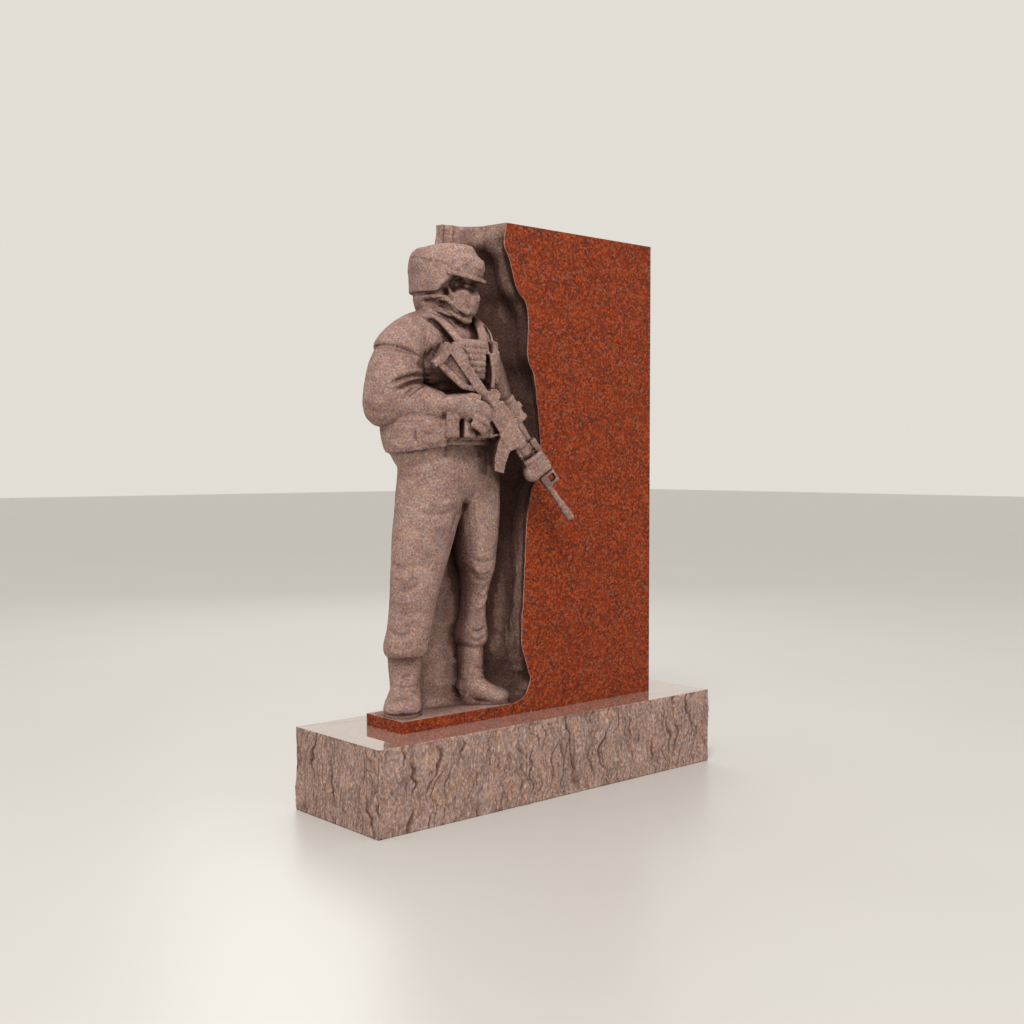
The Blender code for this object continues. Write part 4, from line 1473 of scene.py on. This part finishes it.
class Shader:
    """A material and the nodes that feed its surface."""

    def __init__(self, name: str) -> None:
        """Start a material with a plain surface."""
        self.made = bpy.data.materials.new(name)
        self.made.use_nodes = True
        self.nodes = self.made.node_tree.nodes
        self.links = self.made.node_tree.links
        self.surface = self.nodes["Principled BSDF"]
        self.place = self.add("ShaderNodeTexCoord").outputs["Object"]

    def add(
        self, kind: str, settings: dict | None = None, inputs: dict | None = None
    ) -> bpy.types.Node:
        """Add a node.

        Args:
            kind: Its type's name.
            settings: Properties to set first. "stops" holds a ramp's (place, colour) pairs.
            inputs: Values, sockets or Value objects for its inputs, by name or number.

        Returns:
            The node.
        """
        node = self.nodes.new(kind)
        for name, value in (settings or {}).items():
            if name == "stops":
                ramp = node.color_ramp.elements
                while len(ramp) < len(value):
                    ramp.new(0.5)
                for element, (place, _) in zip(ramp, value):
                    element.position = place
                for element, (_, colour) in zip(ramp, value):
                    element.color = (*colour, 1.0)
            elif name == "interpolation" and kind == "ShaderNodeValToRGB":
                node.color_ramp.interpolation = value
            else:
                setattr(node, name, value)
        for name, value in (inputs or {}).items():
            self.feed(node.inputs[name], value)
        return node

    def feed(self, socket: bpy.types.NodeSocket, value: object) -> None:
        """Set an input from a number, a colour, a socket or a Value."""
        if isinstance(value, Value):
            self.links.new(value.socket, socket)
        elif isinstance(value, bpy.types.NodeSocket):
            self.links.new(value, socket)
        elif socket.type == "RGBA":
            socket.default_value = (*value, 1.0)
        else:
            socket.default_value = value

    def noise(
        self, scale: float, detail: float = 2.0, place: bpy.types.NodeSocket | None = None
    ) -> Value:
        """Return noise from 0 to 1."""
        node = self.add(
            "ShaderNodeTexNoise", None,
            {"Scale": scale, "Detail": detail, "Vector": place or self.place},
        )
        return Value(self, node.outputs["Fac"])

    def stretched(self, scale: Point) -> bpy.types.NodeSocket:
        """Return the place with each axis scaled."""
        node = self.add("ShaderNodeMapping", None, {"Vector": self.place, "Scale": scale})
        return node.outputs["Vector"]

    def warped(
        self, scale: float, by: float, place: bpy.types.NodeSocket | None = None
    ) -> bpy.types.NodeSocket:
        """Return the place pushed about by noise."""
        source = place or self.place
        push = self.add(
            "ShaderNodeTexNoise", None, {"Scale": scale, "Detail": 2.0, "Vector": source}
        )
        centred = self.add(
            "ShaderNodeVectorMath", {"operation": "SUBTRACT"},
            {0: push.outputs["Color"], 1: (0.5, 0.5, 0.5)},
        )
        scaled = self.add(
            "ShaderNodeVectorMath", {"operation": "SCALE"}, {0: centred.outputs[0], "Scale": by}
        )
        moved = self.add(
            "ShaderNodeVectorMath", {"operation": "ADD"}, {0: source, 1: scaled.outputs[0]}
        )
        return moved.outputs[0]

    def crystals(self, scale: float, place: bpy.types.NodeSocket) -> Value:
        """Return a random number for each crystal of the stone."""
        cells = self.add("ShaderNodeTexVoronoi", None, {"Scale": scale, "Vector": place})
        apart = self.add("ShaderNodeSeparateColor", None, {"Color": cells.outputs["Color"]})
        return Value(self, apart.outputs[0])

    def ramp(
        self, value: Value, stops: list[tuple[float, Point]], how: str = "LINEAR"
    ) -> bpy.types.NodeSocket:
        """Turn a number into a colour."""
        settings = {"interpolation": how, "stops": stops}
        node = self.add("ShaderNodeValToRGB", settings, {"Fac": value})
        return node.outputs["Color"]

    def mix(
        self, first: object, second: object, factor: Value | float, how: str = "MIX"
    ) -> bpy.types.NodeSocket:
        """Blend two colours."""
        node = self.add(
            "ShaderNodeMix", {"data_type": "RGBA", "blend_type": how},
            {"Factor": factor, 6: first, 7: second},
        )
        return node.outputs[2]

    def stored(self, name: str) -> tuple[Value, Value]:
        """Return the red and green of a colour attribute of the piece."""
        node = self.add("ShaderNodeAttribute", {"attribute_name": name})
        apart = self.add("ShaderNodeSeparateColor", None, {"Color": node.outputs["Color"]})
        return Value(self, apart.outputs[0]), Value(self, apart.outputs[1])

    def bump(self, height: Value, distance: float, strength: float = 1.0) -> None:
        """Raise the surface by a height that varies over it."""
        inputs = {"Height": height, "Distance": distance, "Strength": strength}
        node = self.add("ShaderNodeBump", None, inputs)
        self.links.new(node.outputs["Normal"], self.surface.inputs["Normal"])

    def finish(
        self, colour: object, roughness: Value | float, shine: float = 0.5
    ) -> bpy.types.Material:
        """Set the surface's colour, roughness and shine, and return the material."""
        self.feed(self.surface.inputs["Base Color"], colour)
        self.surface.inputs["Specular IOR Level"].default_value = shine
        self.feed(self.surface.inputs["Roughness"], roughness)
        return self.made


@dataclass(frozen=True)
class RedGranite:
    """Coarse red granite with orange, dark and grey crystals.

    Attributes:
        finish: How the face is worked.
        crystal: The size of the large crystals.
        speck: The size of the small ones between them.
        drift: The colour that the polished face drifts towards.
        grey: The colour of greyer crystals in the carved stone.
        tan: The colour of warmer ones.
        cloud: What its broad clouds leave of the colour.
        patch: What its small dark patches leave.
        hollow: What the painted shade leaves of the colour in a wide hollow.
        groove: What the painted shade leaves of the colour in a narrow one.
    """

    finish: Finish
    crystal: float = 0.0054
    speck: float = 0.0026
    drift: Point = (0.34, 0.050, 0.009)
    grey: Point = (0.270, 0.240, 0.245)
    tan: Point = (0.420, 0.250, 0.150)
    cloud: Point = (0.80, 0.78, 0.80)
    patch: Point = (0.84, 0.80, 0.82)
    hollow: Point = (0.27, 0.205, 0.185)
    groove: Point = (0.42, 0.35, 0.325)

    def material(self) -> bpy.types.Material:
        """Build the material for this finish."""
        shader = Shader(f"red_granite_{self.finish.value}")
        place = shader.warped(90.0, 0.006)
        coarse = shader.crystals(1 / self.crystal, place)
        fine = shader.crystals(1 / self.speck, place)
        red = shader.ramp(coarse, [
            (0.00, (0.035, 0.012, 0.009)), (0.12, (0.090, 0.014, 0.006)),
            (0.28, (0.180, 0.022, 0.006)), (0.52, (0.300, 0.036, 0.008)),
            (0.74, (0.480, 0.072, 0.014)), (0.89, (0.280, 0.120, 0.072)),
            (0.96, (0.100, 0.075, 0.065)),
        ], "CONSTANT")
        specks = shader.ramp(fine, [
            (0.00, (0.050, 0.015, 0.010)), (0.14, (0.170, 0.026, 0.009)),
            (0.58, (0.330, 0.058, 0.012)), (0.90, (0.190, 0.085, 0.050)),
        ], "CONSTANT")
        colour = shader.mix(red, specks, 0.40)
        if self.finish is Finish.POLISHED:
            drift = shader.noise(14.0, 3.0).band(0.42, 0.62)
            colour = shader.mix(colour, self.drift, drift * 0.18)
            return shader.finish(colour, 0.16 + 0.10 * shader.noise(60.0, 2.0), 0.10)
        return self.carved(shader, place, colour, fine)

    def carved(
        self, shader: Shader, place: bpy.types.NodeSocket, crystals: bpy.types.NodeSocket,
        fine: Value,
    ) -> bpy.types.Material:
        """Turn the polished stone's crystals into pale bruised stone with painted shade in hollows.

        Args:
            shader: The material.
            place: The warped place that the crystals are laid by.
            crystals: The crystals' colour.
            fine: The random number of each small crystal.

        Returns:
            The material.
        """
        grain = shader.noise(190.0, 4.0, place).band(0.30, 0.70)
        stone = shader.ramp(grain, [
            (0.00, (0.210, 0.142, 0.124)), (0.28, (0.312, 0.206, 0.174)),
            (0.52, (0.396, 0.264, 0.222)), (0.78, (0.492, 0.352, 0.308)),
            (1.00, (0.600, 0.462, 0.418)),
        ])
        colour = shader.mix(crystals, stone, 0.84)
        hue = shader.noise(75.0, 3.0)
        colour = shader.mix(colour, self.grey, hue.band(0.50, 0.68) * 0.42)
        colour = shader.mix(colour, self.tan, (1.0 - hue).band(0.50, 0.68) * 0.34)
        # Painted shade: the last two shades darken wide and narrow hollows by how much air is
        # blocked.
        wide, narrow = shader.stored(HollowShade.name)
        for shade, amount in (
            (self.cloud, shader.noise(7.0, 2.0).band(0.4, 0.7)),
            (self.patch, shader.noise(34.0, 4.0).band(0.44, 0.60)),
            (self.hollow, wide.band(0.07, 0.44)),
            (self.groove, narrow.band(0.06, 0.50)),
        ):
            colour = shader.mix(colour, shade, amount, "MULTIPLY")
        shader.bump(shader.noise(300.0, 4.0) + 0.6 * grain, 0.0018, 0.8)
        return shader.finish(colour, 0.80 + 0.14 * fine, 0.25)


@dataclass(frozen=True)
class BrownGranite:
    """Pinkish brown granite with wavy dark veins.

    Attributes:
        finish: How the face is worked.
        tan: The colour of warmer crystals.
        grey: The colour of greyer ones.
        vein: The veins' colour.
        crease: What the painted shade leaves of the colour in a crease.
        polish: The index of refraction that gives the top its mirror.
    """

    finish: Finish
    tan: Point = (0.460, 0.235, 0.120)
    grey: Point = (0.270, 0.215, 0.220)
    vein: Point = (0.125, 0.075, 0.064)
    crease: Point = (0.36, 0.28, 0.255)
    polish: float = 1.9

    def material(self) -> bpy.types.Material:
        """Build the material for this finish."""
        shader = Shader(f"brown_granite_{self.finish.value}")
        place = shader.warped(60.0, 0.008, shader.stretched((1.0, 1.0, 0.65)))
        grain = shader.noise(170.0, 4.0, place).band(0.30, 0.70)
        ground = shader.ramp(grain, [
            (0.00, (0.190, 0.125, 0.108)), (0.28, (0.310, 0.198, 0.165)),
            (0.55, (0.400, 0.255, 0.212)), (0.80, (0.500, 0.340, 0.292)),
            (1.00, (0.620, 0.460, 0.405)),
        ])
        hue = shader.noise(48.0, 3.0, place)
        ground = shader.mix(ground, self.tan, hue.band(0.52, 0.70) * 0.36)
        ground = shader.mix(ground, self.grey, (1.0 - hue).band(0.50, 0.68) * 0.40)
        drawn = shader.warped(9.0, 0.10, shader.stretched((1.0, 1.0, 0.30)))
        wave = shader.noise(46.0, 3.0, drawn) - 0.5
        line = 1.0 - abs(wave).band(0.0, 0.035)
        veins = line * shader.noise(12.0, 2.0).band(0.40, 0.60)
        colour = shader.mix(ground, self.vein, veins * 0.55)
        if self.finish is Finish.POLISHED:
            for name, value in (
                ("IOR", self.polish), ("Coat Weight", 1.0), ("Coat IOR", self.polish),
            ):
                shader.surface.inputs[name].default_value = value
            return shader.finish(colour, 0.04)
        depth, _ = shader.stored(BaseStone.attribute)
        # Painted shade: darken the colour in the creases by their depth.
        colour = shader.mix(colour, self.crease, depth.band(0.04, 0.62), "MULTIPLY")
        shader.bump(shader.noise(260.0, 3.0, place) + 0.7 * grain - 0.8 * veins, 0.0020, 0.9)
        return shader.finish(colour, 0.80, 0.3)


# Setting


@dataclass(frozen=True)
class Studio:
    """The plain pale floor, the soft lights and the camera.

    Attributes:
        lens: The camera's focal length in millimetres.
        sensor: The width of its sensor in millimetres.
        stand: Where it stands.
        turn: How far it looks to the right of +Y, in degrees.
        droop: How far it looks down, in degrees.
        aim: What the lights face.
    """

    lens: float = 44.03
    sensor: float = 36.0
    stand: Point = (-2.3212, -2.5903, 0.8963)
    turn: float = 41.606
    droop: float = 2.237
    aim: Point = (0.0, 0.0, 0.75)

    def floor(self) -> None:
        """Lay the floor."""
        bm = bmesh.new()
        bmesh.ops.create_grid(bm, x_segments=1, y_segments=1, size=30.0)
        mesh = mesh_from(bm, "floor")
        shader = Shader("pale_floor")
        shade = shader.mix((0.60, 0.590, 0.570), (0.57, 0.560, 0.540), shader.noise(1.5, 2.0))
        mesh.materials.append(shader.finish(shade, 0.34))
        link_mesh(mesh, "floor")

    def light(self, name: str, place: Point, size: float, power: float, tint: Point) -> None:
        """Hang one soft square light that faces the stone's middle."""
        data = bpy.data.lights.new(name, "AREA")
        data.shape = "SQUARE"
        data.size = size
        data.energy = power
        data.color = tint
        lamp = bpy.data.objects.new(name, data)
        lamp.location = place
        facing = Vector(self.aim) - Vector(place)
        lamp.rotation_euler = facing.to_track_quat("-Z", "Y").to_euler()
        bpy.context.scene.collection.objects.link(lamp)

    def camera(self) -> None:
        """Set the camera where the photograph was taken from."""
        data = bpy.data.cameras.new("camera")
        data.lens = self.lens
        data.sensor_width = self.sensor
        data.clip_end = 200.0
        camera = bpy.data.objects.new("camera", data)
        camera.location = self.stand
        camera.rotation_euler = (radians(90 - self.droop), 0.0, -radians(self.turn))
        bpy.context.scene.collection.objects.link(camera)
        bpy.context.scene.camera = camera

    def world(self) -> None:
        """Fill the room with even pale light."""
        world = bpy.data.worlds.new("studio")
        world.use_nodes = True
        sky = world.node_tree.nodes["Background"]
        sky.inputs["Color"].default_value = (0.95, 0.915, 0.84, 1.0)
        sky.inputs["Strength"].default_value = 0.80
        bpy.context.scene.world = world
        bpy.context.scene.view_settings.view_transform = "Standard"

    def build(self) -> None:
        """Set up everything that isn't part of the stone."""
        self.floor()
        self.world()
        self.camera()
        self.light("key", (-2.8, -2.6, 5.6), 1.6, 235.0, (1.0, 0.97, 0.94))
        self.light("fill", (1.5, -4.0, 2.2), 3.0, 10.0, (0.96, 0.98, 1.0))
        self.light("rim", (2.0, 3.5, 3.0), 2.5, 40.0, (1.0, 1.0, 1.0))


def main() -> None:
    """Build and dress every piece in order."""
    logging.basicConfig(level=logging.INFO, format="%(message)s", stream=sys.stdout)
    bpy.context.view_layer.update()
    Studio().build()
    for stone in (BaseStone(), Headstone()):
        piece = stone.build()
        LOG.info("%s: %d faces", piece.name, len(piece.data.polygons))


if __name__ == "__main__":
    main()
